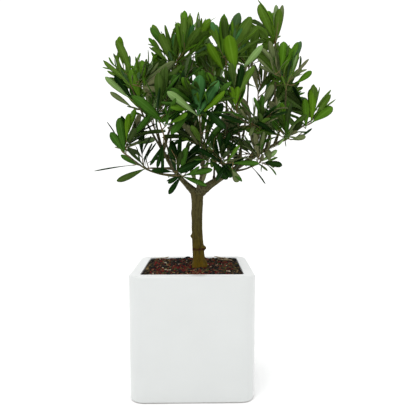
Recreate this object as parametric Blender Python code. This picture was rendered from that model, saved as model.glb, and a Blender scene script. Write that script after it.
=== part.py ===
"""Olive bonsai together with its white square planter, as closed solids.

The plant grows here by rule. A trunk with a root flare stands on the soil and forks into three
limbs. Each limb is a tapering tube along a bending path. Each foliage mass is a stem with side
shoots that carry olive leaves in opposite pairs, each pair turned a quarter against the last.
A twig or leaf that would touch another piece, or leave the room of its mass, tries another
place and is then left out. Sizes are in millimetres here and become metres in the meshes.
"""
import math
import random

import bmesh
import bpy
from mathutils import Matrix, Vector
from mathutils.bvhtree import BVHTree

MM = 0.001
GAP = 0.3
UP = Vector((0.0, 0.0, 1.0))

# Planter: a square pot that widens a little towards its rim, and the grit that fills it.
POT_WIDTH = 133.4
POT_FOOT_WIDTH = 131.4
POT_HEIGHT = 133.3
POT_WALL = 12.3
POT_CORNER = 16.0
POT_INNER_CORNER = 2.6
POT_FLOOR = 11.0
RIM_ROUND = 2.8
RIM_INNER_ROUND = 0.7
FOOT_ROUND = 2.0
SOIL_BELOW_RIM = 2.0
SOIL_EDGE = 1.0
CORNER_STEPS = 5

# Trunk: from the soil to the fork, with its lean, taper, swelling and root flare.
SOIL_TOP = POT_HEIGHT - SOIL_BELOW_RIM
TRUNK_FOOT = Vector((7.5, 0.0, SOIL_TOP + GAP))
TRUNK_LENGTH = 87.0
TRUNK_AZIMUTH = 180.0
TRUNK_RISE = 88.0
TRUNK_SIDES = 12
TRUNK_STEP = 6.0
TRUNK_RADII = ((0.0, 7.4), (0.05, 6.9), (0.14, 6.7), (0.45, 6.0), (0.75, 6.05), (0.92, 6.5), (1.0, 5.2))
FLARE_REACH = 4.2
FLARE_HEIGHT = 6.0
FLARE_ROOTS = 5

# Limbs: name, parent, place along the parent, azimuth, rise, length, foot and tip radius,
# and how far the azimuth and the rise change from foot to tip. Angles are in degrees.
LIMBS = (
    ("left", "trunk", 1.0, 175, 56, 84, 3.1, 1.1, 0, 26),
    ("right", "trunk", 1.0, -3, 32, 111, 4.0, 1.5, 0, -14),
    ("centre", "trunk", 1.0, -67, 67, 42, 2.0, 1.2, 0, 6),
    ("left_low", "left", 0.26, -160, 20, 63, 1.4, 0.9, 10, 40),
    ("left_high", "left", 0.64, -152, 61, 82, 1.3, 0.9, 0, 10),
    ("upper_left", "left", 0.74, -25, 81, 91, 1.4, 0.9, 0, 25),
    ("back_left", "left", 0.46, 115, 51, 89, 1.4, 0.9, 0, 20),
    ("front_left", "left", 0.38, -99, 34, 61, 1.3, 0.9, 0, 20),
    ("inner_left", "left", 0.56, 71, 77, 73, 1.2, 0.9, 0, 20),
    ("low_left", "left", 0.4, 163, 2, 28, 1.1, 0.9, 0, -10),
    ("hang_left", "left", 0.12, -103, 16, 23, 1.0, 0.9, 0, -30),
    ("centre_front", "centre", 0.9, -96, 52, 54, 1.3, 0.9, 0, 25),
    ("top_left", "centre", 0.8, 113, 75, 134, 1.4, 0.9, 0, 12),
    ("back_centre", "centre", 0.45, 75, 57, 119, 1.4, 0.9, 0, 20),
    ("inner_centre", "right", 0.12, 78, 75, 50, 1.1, 0.9, 0, 20),
    ("low_back", "right", 0.2, 93, 29, 54, 1.2, 0.9, 0, 20),
    ("low_front", "right", 0.26, -96, 18, 37, 1.2, 0.9, 0, -10),
    ("top_centre", "right", 0.34, -107, 80, 119, 1.7, 0.9, 0, 20),
    ("front_right", "right", 0.5, -100, 44, 63, 1.4, 0.9, 0, 25),
    ("top_middle", "right", 0.43, 54, 76, 123, 1.5, 0.9, 0, 25),
    ("right_low", "right", 0.36, -31, 13, 30, 1.1, 0.9, 0, 20),
    ("inner_right", "right", 0.6, -72, 46, 33, 1.1, 0.9, 0, 20),
    ("whorl", "right", 0.72, 80, 72, 67, 1.2, 0.9, 0, 20),
    ("back_right", "right", 0.64, 68, 42, 81, 1.4, 0.9, 0, 20),
    ("top_right", "right", 0.84, 39, 83, 117, 1.4, 0.9, 0, 20),
    ("right_end", "right", 0.8, 15, 31, 70, 1.2, 0.9, 0, 0),
    ("upper_right", "right", 0.94, -19, 78, 62, 1.2, 0.9, 0, 20),
)
LIMB_SIDES = 5
MAIN_SIDES = 8
MAIN_RADIUS = 1.9
LIMB_STEP = 12.0
WOBBLE = 5.0

# Masses: name, the limb whose tip carries it, azimuth and rise of its stem, stem length,
# reach of its room, leaf length, and the seeds of its stem and of each side shoot.
MASSES = (
    ("leaves_right", "right", -131, 42, 21, 44, 34, (488, 273, 364, 7)),
    ("leaves_whorl", "whorl", 38, 51, 24, 42, 32, (482, 291, 513, 390)),
    ("leaves_top_right", "top_right", 116, 43, 16, 54, 40, (656, 168, 134, 823)),
    ("leaves_upper_left", "upper_left", 179, 88, 8, 56, 42, (805, 577, 156, 928)),
    ("leaves_top_left", "top_left", 214, 81, 11, 52, 40, (723, 789, 565, 378)),
    ("leaves_top_centre", "top_centre", -35, 62, 13, 56, 42, (252, 772, 518, 86)),
    ("leaves_top_middle", "top_middle", 125, 57, 5, 54, 40, (151, 650, 230, 200)),
    ("leaves_left_low", "left_low", 74, 54, 21, 46, 34, (564, 173, 471, 633)),
    ("leaves_right_end", "right_end", 12, 88, 7, 46, 34, (592, 406, 725)),
    ("leaves_upper_right", "upper_right", -3, 87, 12, 52, 40, (428, 123, 450, 81)),
    ("leaves_low_left", "low_left", 204, 51, 15, 42, 32, (513, 365, 458)),
    ("leaves_hang_left", "hang_left", -33, 44, 25, 38, 30, (724, 406, 138)),
    ("leaves_right_low", "right_low", -160, 48, 18, 40, 30, (274, 198, 6)),
    ("leaves_left", "left", 147, 88, 41, 46, 36, (921, 510, 730, 645)),
    ("leaves_centre", "centre", 172, 70, 35, 44, 32, (554, 94, 225, 807)),
    ("leaves_centre_front", "centre_front", -88, 16, 24, 48, 36, (262, 137, 584, 926)),
    ("leaves_front_left", "front_left", -60, 77, 42, 48, 36, (708, 414, 994, 167)),
    ("leaves_front_right", "front_right", -152, 77, 30, 46, 34, (347, 779, 276, 137)),
    ("leaves_inner_left", "inner_left", 159, 88, 34, 44, 34, (396, 573, 746, 164)),
    ("leaves_inner_centre", "inner_centre", -10, -3, 13, 44, 30, (47, 391, 32, 991)),
    ("leaves_inner_right", "inner_right", -91, 23, 24, 42, 30, (47, 373, 55, 356)),
    ("leaves_back_left", "back_left", 188, 26, 46, 54, 38, (595, 85, 806)),
    ("leaves_back_centre", "back_centre", 61, 88, 39, 54, 38, (580, 669, 728, 879)),
    ("leaves_back_right", "back_right", -9, 7, 32, 54, 38, (297, 515, 503, 608)),
    ("leaves_low_back", "low_back", 104, -13, 36, 46, 34, (860, 230, 147)),
    ("leaves_low_front", "low_front", -96, 39, 15, 42, 30, (957, 711, 838)),
    ("leaves_left_high", "left_high", 21, -18, 13, 60, 40, (836, 989, 161, 310)),
)
TWIG_SIDES = 3
STEM_RADIUS = 0.95
SHOOT_RADIUS = 0.85
TIP_RADIUS = 0.6
SHOOT_LENGTH = 24.0
SHOOT_ANGLE = 48.0
UPTURN = 0.25
# Height in the crown, and how much a leaf there turns upwards.
LEAF_UPTURN = ((230.0, 0.0), (270.0, 0.10), (330.0, 0.50), (380.0, 0.70))
STEM_PAIRS = 4
SHOOT_PAIRS = 3
STEM_FREE = 0.8
SHOOT_FREE = 3.0
TWIG_TRIES = 9
BUD_LENGTH = 14.0
BUD_RADIUS = 2.4
TURN_ON = 137.5

# Leaves: a narrow blade, widest beyond its middle, with a blunt tip; slim is width over length.
# Its edge is (place along, side, half width) for each corner between foot and foot.
LEAF_SLIM = 0.25
LEAF_SPREAD = 0.14
LEAF_THICK = 0.75
LEAF_KEEL = 0.56
LEAF_EDGE = ((0.40, 1.0, 0.84), (0.80, 1.0, 0.88), (1.0, 1.0, 0.0), (0.62, -1.0, 1.06))
LEAF_ARCH = 0.05
LOW_ANGLE = 52.0
HIGH_ANGLE = 14.0
LEAF_TRIES = 7
CLEAR = 0.5
OWN_ROOT = 0.06

# Joining: the solvers of the unions in the order they are tried.
SOLVERS = ("EXACT", "MANIFOLD")

WHITE_GLAZE = (0.80, 0.81, 0.80)
GRIT_BROWN = (0.075, 0.045, 0.025)
BARK_BROWN = (0.085, 0.066, 0.032)
LIMB_BROWN = (0.110, 0.092, 0.052)
LEAF_GREENS = (
    (0.050, 0.095, 0.018),
    (0.035, 0.070, 0.020),
    (0.085, 0.130, 0.045),
    (0.060, 0.115, 0.022),
)


def heading(azimuth, rise):
    """Unit vector of a compass angle from +X and an angle above the level, in degrees."""
    a = math.radians(azimuth)
    r = math.radians(rise)
    return Vector((math.cos(r) * math.cos(a), math.cos(r) * math.sin(a), math.sin(r)))


def side_ways(axis):
    """Two unit vectors square to the axis and to each other."""
    first = axis.cross(UP if abs(axis.z) < 0.94 else Vector((1.0, 0.0, 0.0))).normalized()
    return first, axis.cross(first).normalized()


def bend(start, azimuth, rise, length, turn, lift, seed, step=LIMB_STEP):
    """Path whose direction changes evenly from foot to tip, with a small wobble."""
    rng = random.Random(seed)
    count = max(3, round(length / step))
    points = [start.copy()]
    for index in range(count):
        share = (index + 0.5) / count - 0.5
        sway = WOBBLE * math.sin(2.0 * math.pi * (index / count + rng.random() * 0.15))
        way = heading(azimuth + turn * share + sway, rise + lift * share - 0.6 * sway)
        points.append(points[-1] + way * (length / count))
    return points


def lengths(path):
    """Distance along the path to each of its points."""
    run = [0.0]
    for low, high in zip(path, path[1:]):
        run.append(run[-1] + (high - low).length)
    return run


def point_at(path, run, distance):
    """Point of the path at a distance from its start."""
    for index in range(1, len(path)):
        if distance <= run[index] or index == len(path) - 1:
            share = (distance - run[index - 1]) / (run[index] - run[index - 1])
            return path[index - 1].lerp(path[index], share)
    return path[-1].copy()


def stretch(path, low, high):
    """The part of a path between two distances along it."""
    run = lengths(path)
    inner = [p.copy() for p, d in zip(path, run) if low + 0.2 < d < high - 0.2]
    return [point_at(path, run, low)] + inner + [point_at(path, run, high)]


def stepped(table, share):
    """Value of a table of (share, value) rows, read straight between its rows."""
    for (low, first), (high, last) in zip(table, table[1:]):
        if share <= high:
            return first + (last - first) * (share - low) / (high - low)
    return table[-1][1]


def tube(path, radii, sides, reach=None, spin=0.0):
    """Points and faces of a closed tube; reach(index, side) scales single spokes of a ring."""
    axis = (path[1] - path[0]).normalized()
    spoke = side_ways(axis)[0]
    points = []
    last = len(path) - 1
    for index, centre in enumerate(path):
        way = (path[min(index + 1, last)] - path[max(index - 1, 0)]).normalized()
        spoke = (spoke - way * spoke.dot(way)).normalized()
        across = way.cross(spoke)
        for side in range(sides):
            angle = spin + 2.0 * math.pi * side / sides
            size = radii[index] * (reach(index, side) if reach else 1.0)
            points.append(centre + (spoke * math.cos(angle) + across * math.sin(angle)) * size)
    faces = [list(range(sides))[::-1], [last * sides + side for side in range(sides)]]
    for index in range(last):
        for side in range(sides):
            other = (side + 1) % sides
            low = index * sides
            faces.append([low + side, low + other, low + sides + other, low + sides + side])
    return points, faces


def twig_path(start, ways, length, foot, spin=0.0):
    """A tapering twig of straight stretches, one for each of its ways, turned by spin."""
    path = [start.copy()]
    for way in ways:
        path.append(path[-1] + way * (length / len(ways)))
    radii = [foot + (TIP_RADIUS - foot) * index / len(ways) for index in range(len(ways) + 1)]
    return {"path": path, "run": lengths(path), "radii": radii, "spin": spin}


def twig_shape(twig, grow=0.0):
    """Closed tube of a twig; grow swells it."""
    return tube(twig["path"], [radius + grow for radius in twig["radii"]], TWIG_SIDES, None, twig["spin"])


def leaf_blade(root, way, face, length, width, grow=0.0, free=0.0):
    """Closed leaf of six corners: an arched top of three faces and a keel below. grow swells it."""
    side = way.cross(face).normalized()
    up = side.cross(way).normalized()
    points = [root + way * (length * free)]
    for share, hand, half in LEAF_EDGE:
        lift = 4.0 * LEAF_ARCH * length * share * (1.0 - share) + grow * (share < 1.0)
        out = hand * (0.5 * width * half + grow) * (share < 1.0)
        points.append(root + way * (length * share + grow * (share == 1.0)) + up * lift + side * out)
    lift = 4.0 * LEAF_ARCH * length * LEAF_KEEL * (1.0 - LEAF_KEEL)
    points.append(root + way * (length * LEAF_KEEL) + up * (lift - LEAF_THICK - grow))
    foot, right, far_right, tip, left, keel = range(6)
    faces = [[foot, right, left], [right, far_right, left], [far_right, tip, left]]
    rim = (foot, right, far_right, tip, left)
    faces += [[keel, second, first] for first, second in zip(rim, rim[1:] + rim[:1])]
    return points, faces


def overlaps(shape, others):
    """Whether a shape's faces cut those of any tree in the list."""
    tree = BVHTree.FromPolygons(shape[0], shape[1])
    return any(other is not None and tree.overlap(other) for other in others)


def gather(shapes):
    """One search tree of many shapes, or None."""
    points = []
    faces = []
    for part_points, part_faces in shapes:
        base = len(points)
        points.extend(part_points)
        faces.extend([[base + corner for corner in face] for face in part_faces])
    return BVHTree.FromPolygons(points, faces) if faces else None


class Limb:
    """One tapering limb: its path from the parent's middle, its radii and where its solid starts."""

    def __init__(self, name, path, radius, cut=0.0):
        self.name = name
        self.path = path
        self.run = lengths(path)
        self.radius = radius
        self.cut = cut
        self.collars = []

    def radius_at(self, distance):
        return self.radius(distance / self.run[-1])

    def piece(self, low, high):
        sides = MAIN_SIDES if self.radius_at(0.0) > MAIN_RADIUS else LIMB_SIDES
        path = stretch(self.path, low, high)
        run = lengths(path)
        return tube(path, [self.radius_at(low + d) for d in run], sides)


def clear_start(limb, others):
    """Distance along a limb from which on it keeps clear of the limbs it comes out among."""
    distance = limb.run[-1] * 0.6
    while distance > 0.5:
        centre = point_at(limb.path, limb.run, distance)
        size = limb.radius_at(distance)
        for other in others:
            step = other.run[-1] / 60.0
            for index in range(61):
                near = point_at(other.path, other.run, index * step)
                if (near - centre).length < size + other.radius_at(index * step) + 1.2:
                    return distance
        distance -= 0.25
    return distance


def trunk_reach(index, side):
    """The root flare: spokes near the soil run out into a few low roots."""
    height = TRUNK_STEP * index
    fade = math.exp(-((height / FLARE_HEIGHT) ** 2))
    angle = 2.0 * math.pi * side / TRUNK_SIDES
    lobes = 0.5 + 0.5 * math.cos(FLARE_ROOTS * angle + 0.9) + 0.25 * math.cos(angle - 0.5)
    grain = 0.03 * math.sin(3.0 * angle + 0.35 * height) + 0.02 * math.sin(5.0 * angle - 0.2 * height)
    return 1.0 + fade * max(0.0, lobes) * FLARE_REACH / 7.4 + grain


def grow_skeleton():
    """The trunk and every limb, with the collars that each child leaves on its parent."""
    path = bend(TRUNK_FOOT, TRUNK_AZIMUTH, TRUNK_RISE, TRUNK_LENGTH, 90, 0, 5, TRUNK_STEP)
    trunk = Limb("trunk", path, lambda share: stepped(TRUNK_RADII, share))
    limbs = {"trunk": trunk}
    for number, row in enumerate(LIMBS):
        name, parent, place, azimuth, rise, length, foot, tip, turn, lift = row
        origin = limbs[parent]
        start_run = origin.cut + place * (origin.run[-1] - origin.cut)
        if place == 1.0 and parent == "trunk":
            start_run = origin.run[-1] - 3.0
        start = point_at(origin.path, origin.run, start_run)
        path = bend(start, azimuth, rise, length, turn, lift, 40 + number)
        limb = Limb(name, path, lambda share, foot=foot, tip=tip: foot + (tip - foot) * share)
        mates = [origin] + [other for other, host in origin.collars]
        limb.cut = clear_start(limb, mates)
        origin.collars.append((limb, start_run))
        limbs[name] = limb
    return limbs


def inside(points, centre, reach):
    """Whether every point lies within the round room of a mass."""
    return all((point - centre).length < reach for point in points)


class Mass:
    """One foliage mass: a stem with side shoots and their leaves, grown from the tip of a limb."""

    def __init__(self, row, limbs, fixed, others):
        self.name, limb, azimuth, rise, self.length, self.reach, self.leaf_length, self.seeds = row
        self.fixed = fixed
        self.others = others
        host = limbs[limb]
        self.end = host.path[-1]
        self.first_way = (self.end - host.path[-2]).normalized()
        self.way = heading(azimuth, rise)
        self.room = self.end + self.way * (0.55 * self.length)
        self.upturn = stepped(LEAF_UPTURN, max(LEAF_UPTURN[0][0], self.room.z))
        self.twigs = []
        self.leaves = []

    def own(self, but=None):
        """Search tree of this mass's own leaves and twigs, but for one twig."""
        shapes = [leaf["shape"] for leaf in self.leaves]
        shapes += [twig_shape(twig) for twig in self.twigs if twig is not but]
        return gather(shapes)

    def shapes(self):
        """Every twig and leaf of the mass as a closed shape, the stem first."""
        return [twig_shape(twig) for twig in self.twigs] + [leaf["shape"] for leaf in self.leaves]

    def grow(self):
        self.grow_stem(self.seeds[0])
        for number in range(1, len(self.seeds)):
            self.grow_shoot(number, self.seeds[number])

    def grow_stem(self, seed):
        """The stem leaves the limb's tip near to its direction and turns to the mass's heading."""
        rng = random.Random(seed)
        spin = rng.uniform(0.0, 2.0 * math.pi)
        first, second = side_ways(self.way)
        for attempt in range(TWIG_TRIES):
            swing = math.radians(TURN_ON * attempt)
            out = first * math.cos(swing) + second * math.sin(swing)
            aim = ((self.way + out * (0.12 * attempt)).normalized() + UP * UPTURN).normalized()
            low_way = (self.first_way + out * (0.06 * attempt)).normalized()
            lean = STEM_RADIUS * math.sqrt(max(0.0, 1.0 - low_way.dot(self.first_way) ** 2))
            start = self.end + self.first_way * (GAP + lean)
            beyond = twig_path(start + low_way * STEM_FREE, (low_way, aim), self.length, STEM_RADIUS, spin)
            stem = twig_path(start, (low_way, aim), self.length, STEM_RADIUS, spin)
            if overlaps(twig_shape(beyond, CLEAR), [self.fixed]):
                continue
            if not overlaps(twig_shape(stem, CLEAR), [self.others]):
                self.twigs.append(stem)
                self.leaf_pairs(stem, STEM_PAIRS, rng)
                return

    def grow_shoot(self, number, seed):
        """A side shoot leaves the stem at its place; its seed gives its side, lean and length."""
        if not self.twigs:
            return
        rng = random.Random(seed)
        stem = self.twigs[0]
        share = 0.2 + 0.6 * (number - 1) / max(1, len(self.seeds) - 2)
        distance = share * stem["run"][-1]
        start = point_at(stem["path"], stem["run"], distance)
        axis = (point_at(stem["path"], stem["run"], distance + 2.0) - start).normalized()
        first, second = side_ways(axis)
        length = SHOOT_LENGTH * rng.uniform(0.75, 1.2) * (1.1 - 0.35 * share)
        turn = rng.uniform(0.0, 360.0)
        own = self.own(stem)
        for attempt in range(TWIG_TRIES):
            spin = math.radians(turn + 50.0 * attempt)
            lean = math.radians(SHOOT_ANGLE + rng.uniform(-12.0, 12.0))
            out = first * math.cos(spin) + second * math.sin(spin)
            way = (axis * math.cos(lean) + out * math.sin(lean) + UP * UPTURN).normalized()
            twig = twig_path(start, (way,), length, SHOOT_RADIUS, math.radians(turn))
            beyond = twig_path(start + way * SHOOT_FREE, (way,), length - SHOOT_FREE, SHOOT_RADIUS)
            if not inside(twig["path"], self.room, self.reach) or overlaps(twig_shape(beyond, CLEAR), [own]):
                continue
            if not overlaps(twig_shape(twig, CLEAR), [self.fixed, self.others]):
                self.twigs.append(twig)
                self.leaf_pairs(twig, SHOOT_PAIRS, rng)
                return

    def leaf_pairs(self, twig, pairs, rng):
        """Opposite leaves in pairs, wide and far apart low on the twig, close and steep at its tip."""
        turn = math.degrees(twig["spin"]) + 45.0
        own = self.own(twig)
        for pair in range(pairs + 1):
            share = (pair + 0.6) / (pairs + 0.6)
            place = twig["run"][-1] * min(0.985, 0.22 + 0.78 * share ** 0.85)
            turn += 90.0
            angle = LOW_ANGLE + (HIGH_ANGLE - LOW_ANGLE) * share
            scale = 0.86 + 0.3 * math.sin(math.pi * min(1.0, share * 0.9 + 0.15))
            for side in (0.0, 180.0):
                placed = self.leaf(twig, place, turn + side, angle, scale, random.Random(rng.random()), own)
                if placed:
                    own = self.own(twig)

    def leaf(self, twig, place, turn, angle, scale, rng, own):
        """One leaf with its root in its twig; it tries other turns until it is clear of the rest."""
        root = point_at(twig["path"], twig["run"], place)
        ahead = point_at(twig["path"], twig["run"], place + 1.0)
        axis = (ahead - point_at(twig["path"], twig["run"], max(0.0, place - 1.0))).normalized()
        first, second = side_ways(axis)
        length = self.leaf_length * scale * (1.0 + rng.uniform(-LEAF_SPREAD, LEAF_SPREAD))
        width = LEAF_SLIM * length * (1.0 + rng.uniform(-LEAF_SPREAD, LEAF_SPREAD))
        for attempt in range(LEAF_TRIES):
            spin = math.radians(turn + rng.uniform(-9.0, 9.0) * (1 + attempt))
            lean = math.radians(angle + rng.uniform(-9.0, 9.0) * (1 + 0.6 * attempt))
            out = first * math.cos(spin) + second * math.sin(spin)
            way = (axis * math.cos(lean) + out * math.sin(lean) + UP * self.upturn).normalized()
            roll = Matrix.Rotation(math.radians(rng.uniform(-35.0, 35.0)), 3, way)
            face = roll @ (axis * math.sin(lean) - out * math.cos(lean))
            wide = leaf_blade(root, way, face, length, width, CLEAR)
            bare = leaf_blade(root, way, face, length, width, 0.0, OWN_ROOT)
            if not inside(wide[0], self.room, self.reach):
                continue
            if not overlaps(wide, [self.fixed, self.others]) and not overlaps(bare, [own]):
                self.leaves.append({"shape": leaf_blade(root, way, face, length, width)})
                return True
        return False


def limb_shapes(limbs):
    """Tubes of every limb and its collars, by node name."""
    shapes = {}
    for name, limb in limbs.items():
        if name == "trunk":
            path = limb.path
            radii = [limb.radius_at(d) for d in limb.run]
            points, faces = tube(path, radii, TRUNK_SIDES, trunk_reach)
            for point in points[:TRUNK_SIDES]:
                point.z = TRUNK_FOOT.z
            shapes[name] = [(points, faces)]
        else:
            shapes[name] = [limb.piece(limb.cut, limb.run[-1])]
        for child, place in limb.collars:
            shapes[name].append(child.piece(0.0, child.cut - GAP))
    return shapes


def bud_room(row, limbs):
    """The room kept free ahead of a limb's tip until its own mass has grown."""
    host = limbs[row[1]]
    end = host.path[-1]
    way = (end - host.path[-2]).normalized()
    return tube([end, end + way * BUD_LENGTH], [BUD_RADIUS, BUD_RADIUS], TWIG_SIDES)


def grow_masses(limbs, shapes):
    """Every mass in turn, clear of the limbs, the masses before it and the rooms of the later stems."""
    fixed = gather([shape for group in shapes.values() for shape in group])
    grown = []
    placed = []
    for number, row in enumerate(MASSES):
        rooms = [bud_room(later, limbs) for later in MASSES[number + 1:]]
        mass = Mass(row, limbs, fixed, gather(placed + rooms))
        mass.grow()
        placed.extend(mass.shapes())
        grown.append(mass)
    return grown


def material(name, colour, roughness, metallic=0.0):
    """Principled material of one plain colour."""
    mat = bpy.data.materials.new(name)
    mat.use_nodes = True
    shader = mat.node_tree.nodes["Principled BSDF"]
    shader.inputs["Base Color"].default_value = (*colour, 1.0)
    shader.inputs["Roughness"].default_value = roughness
    shader.inputs["Metallic"].default_value = metallic
    mat.diffuse_color = (*colour, 1.0)
    return mat


def solid(name, points, faces, mat):
    """Object from points in millimetres."""
    mesh = bpy.data.meshes.new(name)
    mesh.from_pydata([tuple(Vector(point) * MM) for point in points], [], faces)
    mesh.validate()
    mesh.materials.append(mat)
    thing = bpy.data.objects.new(name, mesh)
    bpy.context.scene.collection.objects.link(thing)
    return thing


def rounded_square(half, corner, z):
    """Points round a square with rounded corners, anticlockwise from above."""
    points = []
    for quarter in range(4):
        middle = math.radians(45.0 + 90.0 * quarter)
        centre_x = (half - corner) * math.copysign(1.0, math.cos(middle))
        centre_y = (half - corner) * math.copysign(1.0, math.sin(middle))
        for step in range(CORNER_STEPS + 1):
            angle = math.radians(90.0 * quarter + 90.0 * step / CORNER_STEPS)
            points.append((centre_x + corner * math.cos(angle), centre_y + corner * math.sin(angle), z))
    return points


def lofted(name, rings, mat):
    """Closed solid through rings of equal count, with its two ends capped."""
    count = len(rings[0])
    points = [point for ring in rings for point in ring]
    faces = [list(range(count))[::-1], [(len(rings) - 1) * count + side for side in range(count)]]
    for index in range(len(rings) - 1):
        for side in range(count):
            other = (side + 1) % count
            low = index * count
            faces.append([low + side, low + other, low + count + other, low + count + side])
    return solid(name, points, faces, mat)


def quarter_round(inset, z, radius, first, steps=3):
    """Insets and heights along a rounded edge; first is the angle at which it starts."""
    rows = []
    for step in range(steps + 1):
        angle = math.radians(first + 90.0 * step / steps)
        rows.append((inset - radius * math.cos(angle), z + radius * math.sin(angle)))
    return rows


def outer_half(z):
    """Half the pot's outer width at a height; it widens evenly from foot to rim."""
    return 0.5 * (POT_FOOT_WIDTH + (POT_WIDTH - POT_FOOT_WIDTH) * z / POT_HEIGHT)


def build_pot(mat):
    """One closed shell: up the outer wall, over the flat rim and down to the inner floor."""
    half = 0.5 * POT_WIDTH
    foot = quarter_round(FOOT_ROUND, FOOT_ROUND, FOOT_ROUND, -90.0)
    rim = quarter_round(RIM_ROUND, POT_HEIGHT - RIM_ROUND, RIM_ROUND, 0.0)
    rings = []
    for inset, z in foot + rim:
        rings.append(rounded_square(outer_half(z) - inset, POT_CORNER - inset, z))
    softened = 0.25 * RIM_INNER_ROUND
    inner = (
        (POT_WALL - RIM_INNER_ROUND, POT_HEIGHT),
        (POT_WALL - softened, POT_HEIGHT - softened),
        (POT_WALL, POT_HEIGHT - RIM_INNER_ROUND),
        (POT_WALL, POT_FLOOR),
    )
    for inset, z in inner:
        rings.append(rounded_square(half - inset, POT_INNER_CORNER + POT_WALL - inset, z))
    return lofted("pot", rings, mat)


def build_soil(mat):
    """The fill of the pot, a little clear of its walls and floor, with a softened edge."""
    half = 0.5 * POT_WIDTH - POT_WALL - GAP
    rings = []
    softened = 0.3 * SOIL_EDGE
    profile = (
        (0.0, POT_FLOOR + GAP),
        (0.0, SOIL_TOP - SOIL_EDGE),
        (softened, SOIL_TOP - softened),
        (SOIL_EDGE, SOIL_TOP),
    )
    for inset, z in profile:
        rings.append(rounded_square(half - inset, POT_INNER_CORNER - GAP - 0.5 * inset, z))
    return lofted("soil", rings, mat)


def join(name, shapes, mat):
    """One closed solid from overlapping shapes, by one union, without loose scraps."""
    for solver in SOLVERS:
        base = solid(name, *shapes[0], mat)
        if len(shapes) > 1:
            unite(base, shapes[1:], mat, solver)
        if keep_largest(base.data):
            return base
        print("not closed", name, solver)
        bpy.data.objects.remove(base, do_unlink=True)
    raise RuntimeError("no closed union for " + name)


def unite(base, shapes, mat, solver):
    """Union of an object with shapes that are made for it and removed again."""
    group = bpy.data.collections.new(base.name + "_pieces")
    bpy.context.scene.collection.children.link(group)
    for index, shape in enumerate(shapes):
        piece = solid(base.name + "_piece_" + str(index), *shape, mat)
        bpy.context.scene.collection.objects.unlink(piece)
        group.objects.link(piece)
    union = base.modifiers.new("union", "BOOLEAN")
    union.operation = "UNION"
    union.operand_type = "COLLECTION"
    union.collection = group
    union.solver = solver
    bpy.context.view_layer.objects.active = base
    bpy.ops.object.modifier_apply(modifier="union")
    for piece in list(group.objects):
        bpy.data.objects.remove(piece, do_unlink=True)
    bpy.data.collections.remove(group)


def keep_largest(mesh):
    """Drop loose scraps and the walls of sealed hollows, and cut the faces into triangles.

    Says whether the mesh is then one closed skin."""
    bm = bmesh.new()
    bm.from_mesh(mesh)
    for scrap in loose_groups(bm)[:-1]:
        bmesh.ops.delete(bm, geom=scrap, context="VERTS")
    bmesh.ops.triangulate(bm, faces=bm.faces, quad_method="BEAUTY", ngon_method="BEAUTY")
    closed = all(len(edge.link_faces) == 2 for edge in bm.edges)
    bm.to_mesh(mesh)
    bm.free()
    return closed


def loose_groups(bm):
    """The points of each connected piece of a mesh, the largest piece last."""
    seen = set()
    groups = []
    for vert in bm.verts:
        if vert in seen:
            continue
        group = [vert]
        seen.add(vert)
        for member in group:
            for edge in member.link_edges:
                other = edge.other_vert(member)
                if other not in seen:
                    seen.add(other)
                    group.append(other)
        groups.append(group)
    return sorted(groups, key=len)


def shade(thing, angle):
    """Round pieces smooth, with their true edges kept sharp."""
    thing.data.shade_smooth()
    thing.data.set_sharp_from_angle(angle=math.radians(angle))


def main():
    for thing in list(bpy.data.objects):
        bpy.data.objects.remove(thing, do_unlink=True)
    shade(build_pot(material("white_glaze", WHITE_GLAZE, 0.35)), 40.0)
    shade(build_soil(material("grit", GRIT_BROWN, 0.95)), 40.0)
    bark = material("bark", BARK_BROWN, 0.85)
    limb_bark = material("limb_bark", LIMB_BROWN, 0.8)
    limbs = grow_skeleton()
    shapes = limb_shapes(limbs)
    for name, group in shapes.items():
        node = name if name == "trunk" else "bough_" + name
        shade(join(node, group, bark if name == "trunk" else limb_bark), 50.0)
    for number, mass in enumerate(grow_masses(limbs, shapes)):
        green = material(mass.name + "_green", LEAF_GREENS[number % len(LEAF_GREENS)], 0.5)
        join(mass.name, mass.shapes(), green)


if __name__ == "__main__":
    main()
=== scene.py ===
"""Looks of the olive bonsai and its white square planter.

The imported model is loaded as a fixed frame. The plant grows here once more by the rule of its solids,
so every limb, twig and leaf lies where its solid is, and then goes on to finer twigs within the
same reach. New surfaces are grids of points: a function of two parameters, or a profile carried
along a path, worked out as whole arrays. Sizes are in millimetres here and metres in the meshes.
"""
import math
import random

import bpy
import numpy as np
from mathutils import Matrix, Vector
from mathutils.bvhtree import BVHTree


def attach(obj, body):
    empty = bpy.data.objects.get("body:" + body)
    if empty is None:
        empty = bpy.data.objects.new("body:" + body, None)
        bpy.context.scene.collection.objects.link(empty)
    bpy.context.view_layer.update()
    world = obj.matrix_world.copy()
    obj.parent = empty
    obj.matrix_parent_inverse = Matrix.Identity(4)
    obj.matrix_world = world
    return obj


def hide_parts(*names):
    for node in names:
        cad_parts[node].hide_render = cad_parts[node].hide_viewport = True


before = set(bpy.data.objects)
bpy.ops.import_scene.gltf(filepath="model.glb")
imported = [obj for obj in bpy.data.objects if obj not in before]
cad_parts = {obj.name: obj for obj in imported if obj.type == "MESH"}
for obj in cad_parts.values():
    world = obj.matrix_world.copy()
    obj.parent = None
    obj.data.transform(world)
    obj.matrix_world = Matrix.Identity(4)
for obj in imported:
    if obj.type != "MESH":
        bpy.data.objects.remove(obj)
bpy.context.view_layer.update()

MM = 0.001
GAP = 0.3
UP = Vector((0.0, 0.0, 1.0))

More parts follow.
